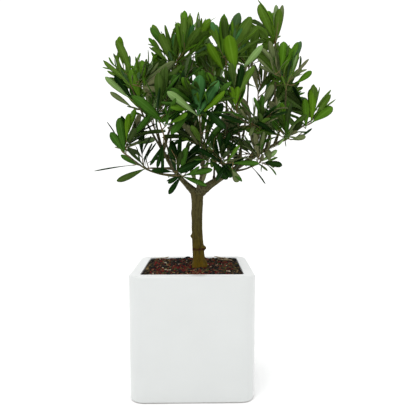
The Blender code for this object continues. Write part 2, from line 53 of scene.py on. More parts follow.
# Planter: a square pot that widens a little towards its rim, and the grit that fills it.
POT_WIDTH = 133.4
POT_FOOT_WIDTH = 131.4
POT_HEIGHT = 133.3
POT_WALL = 12.3
POT_CORNER = 16.0
POT_INNER_CORNER = 2.6
POT_FLOOR = 11.0
RIM_ROUND = 2.8
RIM_INNER_ROUND = 0.7
FOOT_ROUND = 2.0
SOIL_BELOW_RIM = 2.0
SOIL_EDGE = 1.0
CORNER_STEPS = 5

# Trunk: from the soil to the fork, with its lean, taper, swelling and root flare.
SOIL_TOP = POT_HEIGHT - SOIL_BELOW_RIM
TRUNK_FOOT = Vector((7.5, 0.0, SOIL_TOP + GAP))
TRUNK_LENGTH = 87.0
TRUNK_AZIMUTH = 180.0
TRUNK_RISE = 88.0
TRUNK_SIDES = 12
TRUNK_STEP = 6.0
TRUNK_RADII = ((0.0, 7.4), (0.05, 6.9), (0.14, 6.7), (0.45, 6.0), (0.75, 6.05), (0.92, 6.5), (1.0, 5.2))
FLARE_REACH = 4.2
FLARE_HEIGHT = 6.0
FLARE_ROOTS = 5

# Limbs: name, parent, place along the parent, azimuth, rise, length, foot and tip radius,
# and how far the azimuth and the rise change from foot to tip. Angles are in degrees.
LIMBS = (
    ("left", "trunk", 1.0, 175, 56, 84, 3.1, 1.1, 0, 26),
    ("right", "trunk", 1.0, -3, 32, 111, 4.0, 1.5, 0, -14),
    ("centre", "trunk", 1.0, -67, 67, 42, 2.0, 1.2, 0, 6),
    ("left_low", "left", 0.26, -160, 20, 63, 1.4, 0.9, 10, 40),
    ("left_high", "left", 0.64, -152, 61, 82, 1.3, 0.9, 0, 10),
    ("upper_left", "left", 0.74, -25, 81, 91, 1.4, 0.9, 0, 25),
    ("back_left", "left", 0.46, 115, 51, 89, 1.4, 0.9, 0, 20),
    ("front_left", "left", 0.38, -99, 34, 61, 1.3, 0.9, 0, 20),
    ("inner_left", "left", 0.56, 71, 77, 73, 1.2, 0.9, 0, 20),
    ("low_left", "left", 0.4, 163, 2, 28, 1.1, 0.9, 0, -10),
    ("hang_left", "left", 0.12, -103, 16, 23, 1.0, 0.9, 0, -30),
    ("centre_front", "centre", 0.9, -96, 52, 54, 1.3, 0.9, 0, 25),
    ("top_left", "centre", 0.8, 113, 75, 134, 1.4, 0.9, 0, 12),
    ("back_centre", "centre", 0.45, 75, 57, 119, 1.4, 0.9, 0, 20),
    ("inner_centre", "right", 0.12, 78, 75, 50, 1.1, 0.9, 0, 20),
    ("low_back", "right", 0.2, 93, 29, 54, 1.2, 0.9, 0, 20),
    ("low_front", "right", 0.26, -96, 18, 37, 1.2, 0.9, 0, -10),
    ("top_centre", "right", 0.34, -107, 80, 119, 1.7, 0.9, 0, 20),
    ("front_right", "right", 0.5, -100, 44, 63, 1.4, 0.9, 0, 25),
    ("top_middle", "right", 0.43, 54, 76, 123, 1.5, 0.9, 0, 25),
    ("right_low", "right", 0.36, -31, 13, 30, 1.1, 0.9, 0, 20),
    ("inner_right", "right", 0.6, -72, 46, 33, 1.1, 0.9, 0, 20),
    ("whorl", "right", 0.72, 80, 72, 67, 1.2, 0.9, 0, 20),
    ("back_right", "right", 0.64, 68, 42, 81, 1.4, 0.9, 0, 20),
    ("top_right", "right", 0.84, 39, 83, 117, 1.4, 0.9, 0, 20),
    ("right_end", "right", 0.8, 15, 31, 70, 1.2, 0.9, 0, 0),
    ("upper_right", "right", 0.94, -19, 78, 62, 1.2, 0.9, 0, 20),
)
LIMB_SIDES = 5
MAIN_SIDES = 8
MAIN_RADIUS = 1.9
LIMB_STEP = 12.0
WOBBLE = 5.0

# Masses: name, the limb whose tip carries it, azimuth and rise of its stem, stem length,
# reach of its room, leaf length, and the seeds of its stem and of each side shoot.
MASSES = (
    ("leaves_right", "right", -131, 42, 21, 44, 34, (488, 273, 364, 7)),
    ("leaves_whorl", "whorl", 38, 51, 24, 42, 32, (482, 291, 513, 390)),
    ("leaves_top_right", "top_right", 116, 43, 16, 54, 40, (656, 168, 134, 823)),
    ("leaves_upper_left", "upper_left", 179, 88, 8, 56, 42, (805, 577, 156, 928)),
    ("leaves_top_left", "top_left", 214, 81, 11, 52, 40, (723, 789, 565, 378)),
    ("leaves_top_centre", "top_centre", -35, 62, 13, 56, 42, (252, 772, 518, 86)),
    ("leaves_top_middle", "top_middle", 125, 57, 5, 54, 40, (151, 650, 230, 200)),
    ("leaves_left_low", "left_low", 74, 54, 21, 46, 34, (564, 173, 471, 633)),
    ("leaves_right_end", "right_end", 12, 88, 7, 46, 34, (592, 406, 725)),
    ("leaves_upper_right", "upper_right", -3, 87, 12, 52, 40, (428, 123, 450, 81)),
    ("leaves_low_left", "low_left", 204, 51, 15, 42, 32, (513, 365, 458)),
    ("leaves_hang_left", "hang_left", -33, 44, 25, 38, 30, (724, 406, 138)),
    ("leaves_right_low", "right_low", -160, 48, 18, 40, 30, (274, 198, 6)),
    ("leaves_left", "left", 147, 88, 41, 46, 36, (921, 510, 730, 645)),
    ("leaves_centre", "centre", 172, 70, 35, 44, 32, (554, 94, 225, 807)),
    ("leaves_centre_front", "centre_front", -88, 16, 24, 48, 36, (262, 137, 584, 926)),
    ("leaves_front_left", "front_left", -60, 77, 42, 48, 36, (708, 414, 994, 167)),
    ("leaves_front_right", "front_right", -152, 77, 30, 46, 34, (347, 779, 276, 137)),
    ("leaves_inner_left", "inner_left", 159, 88, 34, 44, 34, (396, 573, 746, 164)),
    ("leaves_inner_centre", "inner_centre", -10, -3, 13, 44, 30, (47, 391, 32, 991)),
    ("leaves_inner_right", "inner_right", -91, 23, 24, 42, 30, (47, 373, 55, 356)),
    ("leaves_back_left", "back_left", 188, 26, 46, 54, 38, (595, 85, 806)),
    ("leaves_back_centre", "back_centre", 61, 88, 39, 54, 38, (580, 669, 728, 879)),
    ("leaves_back_right", "back_right", -9, 7, 32, 54, 38, (297, 515, 503, 608)),
    ("leaves_low_back", "low_back", 104, -13, 36, 46, 34, (860, 230, 147)),
    ("leaves_low_front", "low_front", -96, 39, 15, 42, 30, (957, 711, 838)),
    ("leaves_left_high", "left_high", 21, -18, 13, 60, 40, (836, 989, 161, 310)),
)
TWIG_SIDES = 3
STEM_RADIUS = 0.95
SHOOT_RADIUS = 0.85
TIP_RADIUS = 0.6
SHOOT_LENGTH = 24.0
SHOOT_ANGLE = 48.0
UPTURN = 0.25
# Height in the crown, and how much a leaf there turns upwards.
LEAF_UPTURN = ((230.0, 0.0), (270.0, 0.10), (330.0, 0.50), (380.0, 0.70))
STEM_PAIRS = 4
SHOOT_PAIRS = 3
STEM_FREE = 0.8
SHOOT_FREE = 3.0
TWIG_TRIES = 9
BUD_LENGTH = 14.0
BUD_RADIUS = 2.4
TURN_ON = 137.5

# Leaves: a narrow blade, widest beyond its middle, with a blunt tip; slim is width over length.
# Its edge is (place along, side, half width) for each corner between foot and foot.
LEAF_SLIM = 0.25
LEAF_SPREAD = 0.14
LEAF_THICK = 0.75
LEAF_KEEL = 0.56
LEAF_EDGE = ((0.40, 1.0, 0.84), (0.80, 1.0, 0.88), (1.0, 1.0, 0.0), (0.62, -1.0, 1.06))
LEAF_ARCH = 0.05
LOW_ANGLE = 52.0
HIGH_ANGLE = 14.0
LEAF_TRIES = 7
CLEAR = 0.5
OWN_ROOT = 0.06

# Looks: how fine the rings are, and how far the glaze strays from its true square.
RING_CORNER = 13
RING_SIDE = 9
RING_COUNT = 4 * (RING_CORNER + RING_SIDE)
POT_SWAY = 0.12
SHOWN_CORNER = 15.5

# Knots of the trunk: height along it, angle round it, spread and rise.
KNOTS = (
    (36.0, 100.0, 2.0, 2.4),
    (21.5, 256.0, 2.4, 3.6),
    (24.5, 176.0, 2.2, 0.9),
    (62.0, 60.0, 4.5, 1.2),
    (74.0, 230.0, 3.5, 0.9),
)
BOUGH_NODE = 13.0
FORK_SHOULDER = 2.2

# Finer growth: twigs on each twig, their size, and where small leaf pairs sit (place, lean).
FINE_TWIGS = 2
FINE_LENGTH = 15.0
FINE_RADIUS = 0.5
FINE_LEAF = 0.62
TUFT_LEAF = 0.50
FINE_PLACES = ((0.40, 52.0), (0.70, 38.0), (0.97, 18.0))
TUFT_PLACES = ((0.12, 56.0), (0.99, 16.0))
TWIG_SHOWN = 0.85
FINE_SEED = 900

# Open places that finer growth stays out of: how far across and up they are in the plane of the
# trunk, as seen from the camera, and their reach.
OPEN_PLACES = (
    (67, 338, 7), (67, 325, 7), (80, 333, 6), (82, 352, 6), (71, 312, 6), (74, 389, 5), (22, 343, 4),
    (28, 294, 6), (59, 295, 4), (120, 305, 7), (97, 279, 5), (55, 266, 5), (34, 274, 4), (19, 240, 8),
    (0, 247, 5), (3, 228, 6), (-52, 264, 9), (-50, 252, 10), (-33, 254, 8), (-51, 294, 6), (-34, 298, 5),
    (-20, 270, 3), (-72, 277, 4),
)

# Single sprays that show: their green, the place of the foot across and up in the trunk's plane as
# seen from the camera, and each leaf's tip and width.
SPRAYS = (
    ("dark", -68, 323, ((-88, 351, 9.2),)),
    ("pale", -71, 324, ((-99, 349, 6.9),)),
    ("grey", -68, 314, ((-93, 333, 5.8),)),
    ("green", -60, 322, ((-68, 358, 13.9),)),
    ("green", -54, 338, ((-58, 368, 9.2),)),
    ("bright", -38, 338, ((-43, 375, 9.2),)),
    ("deep", -78, 263, ((-93, 287, 10.4), (-84, 303, 10.4),)),
    ("bright", -76, 277, ((-74, 308, 6.9),)),
    ("dark", -69, 249, ((-113, 241, 2.1),)),
    ("dark", -13, 237, ((-28, 216, 5.8), (-29, 229, 4.6),)),
    ("bright", 36, 355, ((17, 386, 10.4),)),
    ("bright", 49, 351, ((42, 396, 15.0),)),
    ("pale", 54, 355, ((80, 384, 6.9),)),
    ("grey", 94, 384, ((104, 429, 6.9),)),
    ("green", 100, 357, ((104, 390, 10.4), (123, 388, 8.1),)),
    ("green", 117, 341, ((136, 356, 6.9),)),
    ("green", 136, 297, ((160, 317, 11.6),)),
    ("bright", 136, 298, ((139, 339, 11.6),)),
    ("green", 130, 291, ((128, 325, 9.2),)),
    ("pale", 6, 305, ((-29, 333, 8.1),)),
    ("bright", 7, 305, ((38, 332, 5.8),)),
    ("blue", 6, 305, ((6, 351, 13.9), (31, 345, 10.4),)),
    ("bright", 49, 317, ((42, 338, 6.9), (52, 338, 6.9),)),
    ("dark", 80, 252, ((103, 250, 6.9),)),
    ("grey", 89, 252, ((86, 268, 8.1),)),
    ("dark", 68, 247, ((84, 227, 2.1),)),
    ("grey", 45, 244, ((53, 230, 8.1),)),
    ("grey", 113, 278, ((130, 282, 6.9),)),
    ("dark", 20, 255, ((41, 234, 9.2),)),
    ("dark", -34, 273, ((-48, 248, 4.0), (-41, 246, 4.6), (-36, 240, 3.5),)),
    ("dark", -22, 241, ((-47, 244, 6.9),)),
    ("dark", 18, 289, ((34, 320, 9.2),)),
    ("bright", -78, 359, ((-82, 394, 8.1),)),
    ("grey", 80, 316, ((91, 341, 8.1),)),
    ("dark", 15, 257, ((-17, 241, 9.2),)),
    ("green", 34, 371, ((36, 418, 10.4),)),
    ("green", -9, 387, ((-10, 424, 8.1),)),
    ("deep", -16, 370, ((-48, 404, 10.4),)),
    ("grey", 5, 225, ((-3, 247, 5.8),)),
)
SPRAY_NEAR = 10.0
SPRAY_STEM = 0.55
SPRAY_LEAN = {"pale": -13.0, "bright": -10.0}

# Shown leaf: rows from root to tip with their half widths, and the eight points round it.
LEAF_ROWS = (0.0, 0.12, 0.28, 0.46, 0.64, 0.80, 0.90, 0.97, 1.0)
LEAF_HALVES = (0.08, 0.17, 0.50, 0.82, 1.0, 0.97, 0.78, 0.42, 0.08)
LEAF_RING = (1.0, 0.5, 0.0, -0.5, -1.0, -0.5, 0.0, 0.5)
LEAF_SIDES = (0.0, -1.0, -1.0, -1.0, 0.0, 1.0, 1.0, 1.0)
LEAF_THIN = 0.42

# Greens: name, two near colours of the upper side, two of the underside, and share of the width shown.
LEAF_KINDS = (
    # dark and deep: painted shade, the near-black greens given to the middle of the crown.
    ("dark", (0.003, 0.016, 0.002), (0.009, 0.032, 0.003), (0.016, 0.032, 0.005), (0.030, 0.050, 0.010), 0.76),
    ("deep", (0.025, 0.078, 0.006), (0.042, 0.108, 0.011), (0.038, 0.078, 0.010), (0.054, 0.096, 0.017), 0.82),
    ("grey", (0.092, 0.126, 0.042), (0.120, 0.150, 0.060), (0.146, 0.150, 0.072), (0.118, 0.130, 0.056), 0.80),
    ("green", (0.050, 0.128, 0.005), (0.068, 0.154, 0.010), (0.066, 0.134, 0.012), (0.086, 0.156, 0.022), 0.94),
    ("bright", (0.066, 0.150, 0.004), (0.084, 0.174, 0.008), (0.078, 0.158, 0.012), (0.098, 0.180, 0.022), 0.98),
    # blue: a leaf green whose blue tint stands in for a glossy sheen: painted sheen on the leaf's own green.
    ("blue", (0.036, 0.122, 0.030), (0.056, 0.160, 0.044), (0.050, 0.110, 0.034), (0.066, 0.130, 0.044), 0.86),
    ("pale", (0.150, 0.245, 0.070), (0.180, 0.290, 0.100), (0.150, 0.225, 0.085), (0.180, 0.260, 0.110), 0.80),
)
# Kinds by the painted light a spray gets: dark and deep in the middle of the crown are painted shade, bright at its
# top and sides is painted light.
KIND_LIMITS = ((0.42, "dark"), (0.62, "deep"), (0.69, "grey"), (0.92, "green"), (9.0, "bright"))
DEPTH_SHARE = 0.35
DARKER = {"bright": "green", "green": "deep", "grey": "deep", "deep": "dark", "dark": "dark"}
PALER = {"bright": "pale", "green": "blue", "grey": "pale", "deep": "green", "dark": "grey"}
PALER_SHARE = 0.14
# The right side below this height has many olive-grey sprays.
OLIVE_SIDE = (45.0, 350.0)
OLIVE_SHARE = 0.45
RIB_LIGHTER = 1.40
CROWN_MIDDLE = (22.0, 0.0, 318.0)
CROWN_HALVES = (132.0, 102.0, 108.0)
CROWN_LOW = 230.0
CROWN_HIGH = 425.0
# Beyond this share of the crown's reach the sprays have only their own large leaves.
OUTER_SHELL = 0.80
FINE_SLIM = 0.68
# Share of the leaves that are a step darker than their spray, and least half width near the foot.
DARKER_SHARE = 0.22
LEAF_FOOT = 0.38

# Other colours.
GLAZE_WHITE = (0.614, 0.631, 0.623)
GLAZE_SHADE = (0.597, 0.614, 0.606)
# Painted light: a brighter glaze for the rim top, in place of the light that the crown above keeps off it.
RIM_PAINTED_LIGHT = (0.672, 0.690, 0.682)
# Painted shadow: a grey-brown band on the lowest millimetre of the pot, where it meets the floor.
FOOT_PAINTED_SHADOW = (0.300, 0.280, 0.255)
BARK_FOOT = (0.124, 0.075, 0.003)
BARK_LOW = (0.075, 0.054, 0.007)
BARK_MID = (0.064, 0.054, 0.014)
BARK_HIGH = (0.075, 0.065, 0.024)
BARK_CRACK = (0.014, 0.010, 0.005)
BARK_LICHEN = (0.178, 0.169, 0.102)
# An old dark red scar goes round the trunk at the height of the right knot, in metres.
BARK_SCAR = (0.034, 0.008, 0.004)
SCAR_FROM = 0.1504
SCAR_TO = 0.1544
LIMB_GREY = (0.098, 0.092, 0.045)
LIMB_OLIVE = (0.070, 0.065, 0.024)
TWIG_OLIVE = (0.144, 0.127, 0.047)
TWIG_BROWN = (0.119, 0.072, 0.024)
GRIT_DARK = (0.006, 0.004, 0.003)
GRIT_BROWN = (0.030, 0.012, 0.006)
CHIP_PALE = (0.407, 0.339, 0.229)
CHIP_BROWN = (0.220, 0.153, 0.076)

# Loose grit: name, two near colours, count, smallest and largest size.
GRIT_KINDS = (
    ("black", (0.006, 0.006, 0.006), (0.018, 0.017, 0.014), 560, 2.2, 4.6),
    ("maroon", (0.150, 0.013, 0.012), (0.085, 0.008, 0.007), 560, 1.6, 3.6),
    ("brown", (0.095, 0.062, 0.022), (0.050, 0.036, 0.014), 420, 1.8, 4.0),
    ("tan", (0.230, 0.155, 0.070), (0.160, 0.110, 0.045), 120, 1.6, 3.2),
    ("pale", (0.480, 0.420, 0.300), (0.380, 0.310, 0.210), 60, 1.4, 3.0),
    ("moss", (0.030, 0.085, 0.010), (0.018, 0.050, 0.008), 90, 1.4, 3.0),
)

# Single stones that show: kind, place across and back, and size.
STONES = (
    ("black", -34, -6, 7.5), ("black", -7, 50, 8.0), ("black", -50, 30, 6.0), ("pale", -33, 14, 4.8),
    ("tan", -51, -18, 5.0), ("pale", 17, 9, 3.4), ("moss", 17, -28, 4.2), ("maroon", 10.5, -9.5, 4.6),
    ("pale", 40, -38, 3.6), ("tan", -20, -40, 4.0), ("brown", 46, 6, 5.0), ("moss", 37, -12, 3.4),
)

# Slivers of wood: foot and tip across and back, how high the tip stands, and width.
CHIPS = (
    (-47, 46, -31, 52, 1.2, 2.2),
    (44, 39, 26, 52, 1.8, 2.6),
    (48, 30, 30, 40, 0.6, 2.0),
    (-28, -32, -24, -26, 0.4, 2.2),
)

# Stage: lamps by name, place in metres, size and power; and the camera's place, lens and turn.
FLOOR_WHITE = (0.98, 0.98, 0.98)
SKY_STRENGTH = 1.10
LAMPS = (
    ("key", (-0.5, -0.7, 2.0), 0.9, 9.0),
    ("top", (0.1, 0.1, 2.2), 1.6, 6.0),
)
CAMERA_PLACE = (8.66, -533.5, 229.7)
CAMERA_LENS = 40.0
CAMERA_DOWN = 3.211
CAMERA_RIGHT = 0.952


# ---- The rule of growth, as in the solids ----


def heading(azimuth, rise):
    """Unit vector of a compass angle from +X and an angle above the level, in degrees."""
    a = math.radians(azimuth)
    r = math.radians(rise)
    return Vector((math.cos(r) * math.cos(a), math.cos(r) * math.sin(a), math.sin(r)))


def side_ways(axis):
    """Two unit vectors square to the axis and to each other."""
    first = axis.cross(UP if abs(axis.z) < 0.94 else Vector((1.0, 0.0, 0.0))).normalized()
    return first, axis.cross(first).normalized()


def bend(start, azimuth, rise, length, turn, lift, seed, step=LIMB_STEP):
    """Path whose direction changes evenly from foot to tip, with a small wobble."""
    rng = random.Random(seed)
    count = max(3, round(length / step))
    points = [start.copy()]
    for index in range(count):
        share = (index + 0.5) / count - 0.5
        sway = WOBBLE * math.sin(2.0 * math.pi * (index / count + rng.random() * 0.15))
        way = heading(azimuth + turn * share + sway, rise + lift * share - 0.6 * sway)
        points.append(points[-1] + way * (length / count))
    return points


def lengths(path):
    """Distance along the path to each of its points."""
    run = [0.0]
    for low, high in zip(path, path[1:]):
        run.append(run[-1] + (high - low).length)
    return run


def point_at(path, run, distance):
    """Point of the path at a distance from its start."""
    for index in range(1, len(path)):
        if distance <= run[index] or index == len(path) - 1:
            share = (distance - run[index - 1]) / (run[index] - run[index - 1])
            return path[index - 1].lerp(path[index], share)
    return path[-1].copy()


def stretch(path, low, high):
    """The part of a path between two distances along it."""
    run = lengths(path)
    inner = [p.copy() for p, d in zip(path, run) if low + 0.2 < d < high - 0.2]
    return [point_at(path, run, low)] + inner + [point_at(path, run, high)]


def stepped(table, share):
    """Value of a table of (share, value) rows, read straight between its rows."""
    for (low, first), (high, last) in zip(table, table[1:]):
        if share <= high:
            return first + (last - first) * (share - low) / (high - low)
    return table[-1][1]


def tube(path, radii, sides, reach=None, spin=0.0):
    """Points and faces of a closed tube; reach(index, side) scales single spokes of a ring."""
    axis = (path[1] - path[0]).normalized()
    spoke = side_ways(axis)[0]
    points = []
    last = len(path) - 1
    for index, centre in enumerate(path):
        way = (path[min(index + 1, last)] - path[max(index - 1, 0)]).normalized()
        spoke = (spoke - way * spoke.dot(way)).normalized()
        across = way.cross(spoke)
        for side in range(sides):
            angle = spin + 2.0 * math.pi * side / sides
            size = radii[index] * (reach(index, side) if reach else 1.0)
            points.append(centre + (spoke * math.cos(angle) + across * math.sin(angle)) * size)
    faces = [list(range(sides))[::-1], [last * sides + side for side in range(sides)]]
    for index in range(last):
        for side in range(sides):
            other = (side + 1) % sides
            low = index * sides
            faces.append([low + side, low + other, low + sides + other, low + sides + side])
    return points, faces


def twig_path(start, ways, length, foot, spin=0.0):
    """A tapering twig of straight stretches, one for each of its ways, turned by spin."""
    path = [start.copy()]
    for way in ways:
        path.append(path[-1] + way * (length / len(ways)))
    radii = [foot + (TIP_RADIUS - foot) * index / len(ways) for index in range(len(ways) + 1)]
    return {"path": path, "run": lengths(path), "radii": radii, "spin": spin}


def twig_shape(twig, grow=0.0):
    """Closed tube of a twig; grow swells it."""
    return tube(twig["path"], [radius + grow for radius in twig["radii"]], TWIG_SIDES, None, twig["spin"])


def leaf_blade(root, way, face, length, width, grow=0.0, free=0.0):
    """Closed leaf of six corners: an arched top of three faces and a keel below. grow swells it."""
    side = way.cross(face).normalized()
    up = side.cross(way).normalized()
    points = [root + way * (length * free)]
    for share, hand, half in LEAF_EDGE:
        lift = 4.0 * LEAF_ARCH * length * share * (1.0 - share) + grow * (share < 1.0)
        out = hand * (0.5 * width * half + grow) * (share < 1.0)
        points.append(root + way * (length * share + grow * (share == 1.0)) + up * lift + side * out)
    lift = 4.0 * LEAF_ARCH * length * LEAF_KEEL * (1.0 - LEAF_KEEL)
    points.append(root + way * (length * LEAF_KEEL) + up * (lift - LEAF_THICK - grow))
    foot, right, far_right, tip, left, keel = range(6)
    faces = [[foot, right, left], [right, far_right, left], [far_right, tip, left]]
    rim = (foot, right, far_right, tip, left)
    faces += [[keel, second, first] for first, second in zip(rim, rim[1:] + rim[:1])]
    return points, faces


def overlaps(shape, others):
    """Whether a shape's faces cut those of any tree in the list."""
    tree = BVHTree.FromPolygons(shape[0], shape[1])
    return any(other is not None and tree.overlap(other) for other in others)


def gather(shapes):
    """One search tree of many shapes, or None."""
    points = []
    faces = []
    for part_points, part_faces in shapes:
        base = len(points)
        points.extend(part_points)
        faces.extend([[base + corner for corner in face] for face in part_faces])
    return BVHTree.FromPolygons(points, faces) if faces else None


class Limb:
    """One tapering limb: its path from the parent's middle, its radii and where its solid starts."""

    def __init__(self, name, path, radius, cut=0.0):
        self.name = name
        self.path = path
        self.run = lengths(path)
        self.radius = radius
        self.cut = cut
        self.collars = []

    def radius_at(self, distance):
        return self.radius(distance / self.run[-1])

    def piece(self, low, high):
        sides = MAIN_SIDES if self.radius_at(0.0) > MAIN_RADIUS else LIMB_SIDES
        path = stretch(self.path, low, high)
        run = lengths(path)
        return tube(path, [self.radius_at(low + d) for d in run], sides)


def clear_start(limb, others):
    """Distance along a limb from which on it keeps clear of the limbs it comes out among."""
    distance = limb.run[-1] * 0.6
    while distance > 0.5:
        centre = point_at(limb.path, limb.run, distance)
        size = limb.radius_at(distance)
        for other in others:
            step = other.run[-1] / 60.0
            for index in range(61):
                near = point_at(other.path, other.run, index * step)
                if (near - centre).length < size + other.radius_at(index * step) + 1.2:
                    return distance
        distance -= 0.25
    return distance


def trunk_reach(index, side):
    """The root flare: spokes near the soil run out into a few low roots."""
    height = TRUNK_STEP * index
    fade = math.exp(-((height / FLARE_HEIGHT) ** 2))
    angle = 2.0 * math.pi * side / TRUNK_SIDES
    lobes = 0.5 + 0.5 * math.cos(FLARE_ROOTS * angle + 0.9) + 0.25 * math.cos(angle - 0.5)
    grain = 0.03 * math.sin(3.0 * angle + 0.35 * height) + 0.02 * math.sin(5.0 * angle - 0.2 * height)
    return 1.0 + fade * max(0.0, lobes) * FLARE_REACH / 7.4 + grain


def grow_skeleton():
    """The trunk and every limb, with the collars that each child leaves on its parent."""
    path = bend(TRUNK_FOOT, TRUNK_AZIMUTH, TRUNK_RISE, TRUNK_LENGTH, 90, 0, 5, TRUNK_STEP)
    trunk = Limb("trunk", path, lambda share: stepped(TRUNK_RADII, share))
    limbs = {"trunk": trunk}
    for number, row in enumerate(LIMBS):
        name, parent, place, azimuth, rise, length, foot, tip, turn, lift = row
        origin = limbs[parent]
        start_run = origin.cut + place * (origin.run[-1] - origin.cut)
        if place == 1.0 and parent == "trunk":
            start_run = origin.run[-1] - 3.0
        start = point_at(origin.path, origin.run, start_run)
        path = bend(start, azimuth, rise, length, turn, lift, 40 + number)
        limb = Limb(name, path, lambda share, foot=foot, tip=tip: foot + (tip - foot) * share)
        mates = [origin] + [other for other, host in origin.collars]
        limb.cut = clear_start(limb, mates)
        origin.collars.append((limb, start_run))
        limbs[name] = limb
    return limbs


def inside(points, centre, reach):
    """Whether every point lies within the round room of a mass."""
    return all((point - centre).length < reach for point in points)


class Mass:
    """One foliage mass: a stem with side shoots and their leaves, grown from the tip of a limb."""

    def __init__(self, row, limbs, fixed, others):
        self.name, limb, azimuth, rise, self.length, self.reach, self.leaf_length, self.seeds = row
        self.fixed = fixed
        self.others = others
        host = limbs[limb]
        self.end = host.path[-1]
        self.first_way = (self.end - host.path[-2]).normalized()
        self.way = heading(azimuth, rise)
        self.room = self.end + self.way * (0.55 * self.length)
        self.upturn = stepped(LEAF_UPTURN, max(LEAF_UPTURN[0][0], self.room.z))
        self.twigs = []
        self.leaves = []

    def own(self, but=None):
        """Search tree of this mass's own leaves and twigs, but for one twig."""
        shapes = [leaf["shape"] for leaf in self.leaves]
        shapes += [twig_shape(twig) for twig in self.twigs if twig is not but]
        return gather(shapes)

    def shapes(self):
        """Every twig and leaf of the mass as a closed shape, the stem first."""
        return [twig_shape(twig) for twig in self.twigs] + [leaf["shape"] for leaf in self.leaves]

    def grow(self):
        self.grow_stem(self.seeds[0])
        for number in range(1, len(self.seeds)):
            self.grow_shoot(number, self.seeds[number])

    def grow_stem(self, seed):
        """The stem leaves the limb's tip near to its direction and turns to the mass's heading."""
        rng = random.Random(seed)
        spin = rng.uniform(0.0, 2.0 * math.pi)
        first, second = side_ways(self.way)
        for attempt in range(TWIG_TRIES):
            swing = math.radians(TURN_ON * attempt)
            out = first * math.cos(swing) + second * math.sin(swing)
            aim = ((self.way + out * (0.12 * attempt)).normalized() + UP * UPTURN).normalized()
            low_way = (self.first_way + out * (0.06 * attempt)).normalized()
            lean = STEM_RADIUS * math.sqrt(max(0.0, 1.0 - low_way.dot(self.first_way) ** 2))
            start = self.end + self.first_way * (GAP + lean)
            beyond = twig_path(start + low_way * STEM_FREE, (low_way, aim), self.length, STEM_RADIUS, spin)
            stem = twig_path(start, (low_way, aim), self.length, STEM_RADIUS, spin)
            if overlaps(twig_shape(beyond, CLEAR), [self.fixed]):
                continue
            if not overlaps(twig_shape(stem, CLEAR), [self.others]):
                self.twigs.append(stem)
                self.leaf_pairs(stem, STEM_PAIRS, rng)
                return

    def grow_shoot(self, number, seed):
        """A side shoot leaves the stem at its place; its seed gives its side, lean and length."""
        if not self.twigs:
            return
        rng = random.Random(seed)
        stem = self.twigs[0]
        share = 0.2 + 0.6 * (number - 1) / max(1, len(self.seeds) - 2)
        distance = share * stem["run"][-1]
        start = point_at(stem["path"], stem["run"], distance)
        axis = (point_at(stem["path"], stem["run"], distance + 2.0) - start).normalized()
        first, second = side_ways(axis)
        length = SHOOT_LENGTH * rng.uniform(0.75, 1.2) * (1.1 - 0.35 * share)
        turn = rng.uniform(0.0, 360.0)
        own = self.own(stem)
        for attempt in range(TWIG_TRIES):
            spin = math.radians(turn + 50.0 * attempt)
            lean = math.radians(SHOOT_ANGLE + rng.uniform(-12.0, 12.0))
            out = first * math.cos(spin) + second * math.sin(spin)
            way = (axis * math.cos(lean) + out * math.sin(lean) + UP * UPTURN).normalized()
            twig = twig_path(start, (way,), length, SHOOT_RADIUS, math.radians(turn))
            beyond = twig_path(start + way * SHOOT_FREE, (way,), length - SHOOT_FREE, SHOOT_RADIUS)
            if not inside(twig["path"], self.room, self.reach) or overlaps(twig_shape(beyond, CLEAR), [own]):
                continue
            if not overlaps(twig_shape(twig, CLEAR), [self.fixed, self.others]):
                self.twigs.append(twig)
                self.leaf_pairs(twig, SHOOT_PAIRS, rng)
                return

    def leaf_pairs(self, twig, pairs, rng):
        """Opposite leaves in pairs, wide and far apart low on the twig, close and steep at its tip."""
        turn = math.degrees(twig["spin"]) + 45.0
        own = self.own(twig)
        for pair in range(pairs + 1):
            share = (pair + 0.6) / (pairs + 0.6)
            place = twig["run"][-1] * min(0.985, 0.22 + 0.78 * share ** 0.85)
            turn += 90.0
            angle = LOW_ANGLE + (HIGH_ANGLE - LOW_ANGLE) * share
            scale = 0.86 + 0.3 * math.sin(math.pi * min(1.0, share * 0.9 + 0.15))
            for side in (0.0, 180.0):
                placed = self.leaf(twig, place, turn + side, angle, scale, random.Random(rng.random()), own)
                if placed:
                    own = self.own(twig)

    def leaf(self, twig, place, turn, angle, scale, rng, own):
        """One leaf with its root in its twig; it tries other turns until it is clear of the rest."""
        root = point_at(twig["path"], twig["run"], place)
        ahead = point_at(twig["path"], twig["run"], place + 1.0)
        axis = (ahead - point_at(twig["path"], twig["run"], max(0.0, place - 1.0))).normalized()
        first, second = side_ways(axis)
        length = self.leaf_length * scale * (1.0 + rng.uniform(-LEAF_SPREAD, LEAF_SPREAD))
        width = LEAF_SLIM * length * (1.0 + rng.uniform(-LEAF_SPREAD, LEAF_SPREAD))
        for attempt in range(LEAF_TRIES):
            spin = math.radians(turn + rng.uniform(-9.0, 9.0) * (1 + attempt))
            lean = math.radians(angle + rng.uniform(-9.0, 9.0) * (1 + 0.6 * attempt))
            out = first * math.cos(spin) + second * math.sin(spin)
            way = (axis * math.cos(lean) + out * math.sin(lean) + UP * self.upturn).normalized()
            roll = Matrix.Rotation(math.radians(rng.uniform(-35.0, 35.0)), 3, way)
            face = roll @ (axis * math.sin(lean) - out * math.cos(lean))
            wide = leaf_blade(root, way, face, length, width, CLEAR)
            bare = leaf_blade(root, way, face, length, width, 0.0, OWN_ROOT)
            if not inside(wide[0], self.room, self.reach):
                continue
            if not overlaps(wide, [self.fixed, self.others]) and not overlaps(bare, [own]):
                side = way.cross(face).normalized()
                self.leaves.append({"root": root, "way": way, "side": side, "up": side.cross(way).normalized(),
                                    "length": length, "width": width, "twig": twig,
                                    "shape": leaf_blade(root, way, face, length, width)})
                return True
        return False


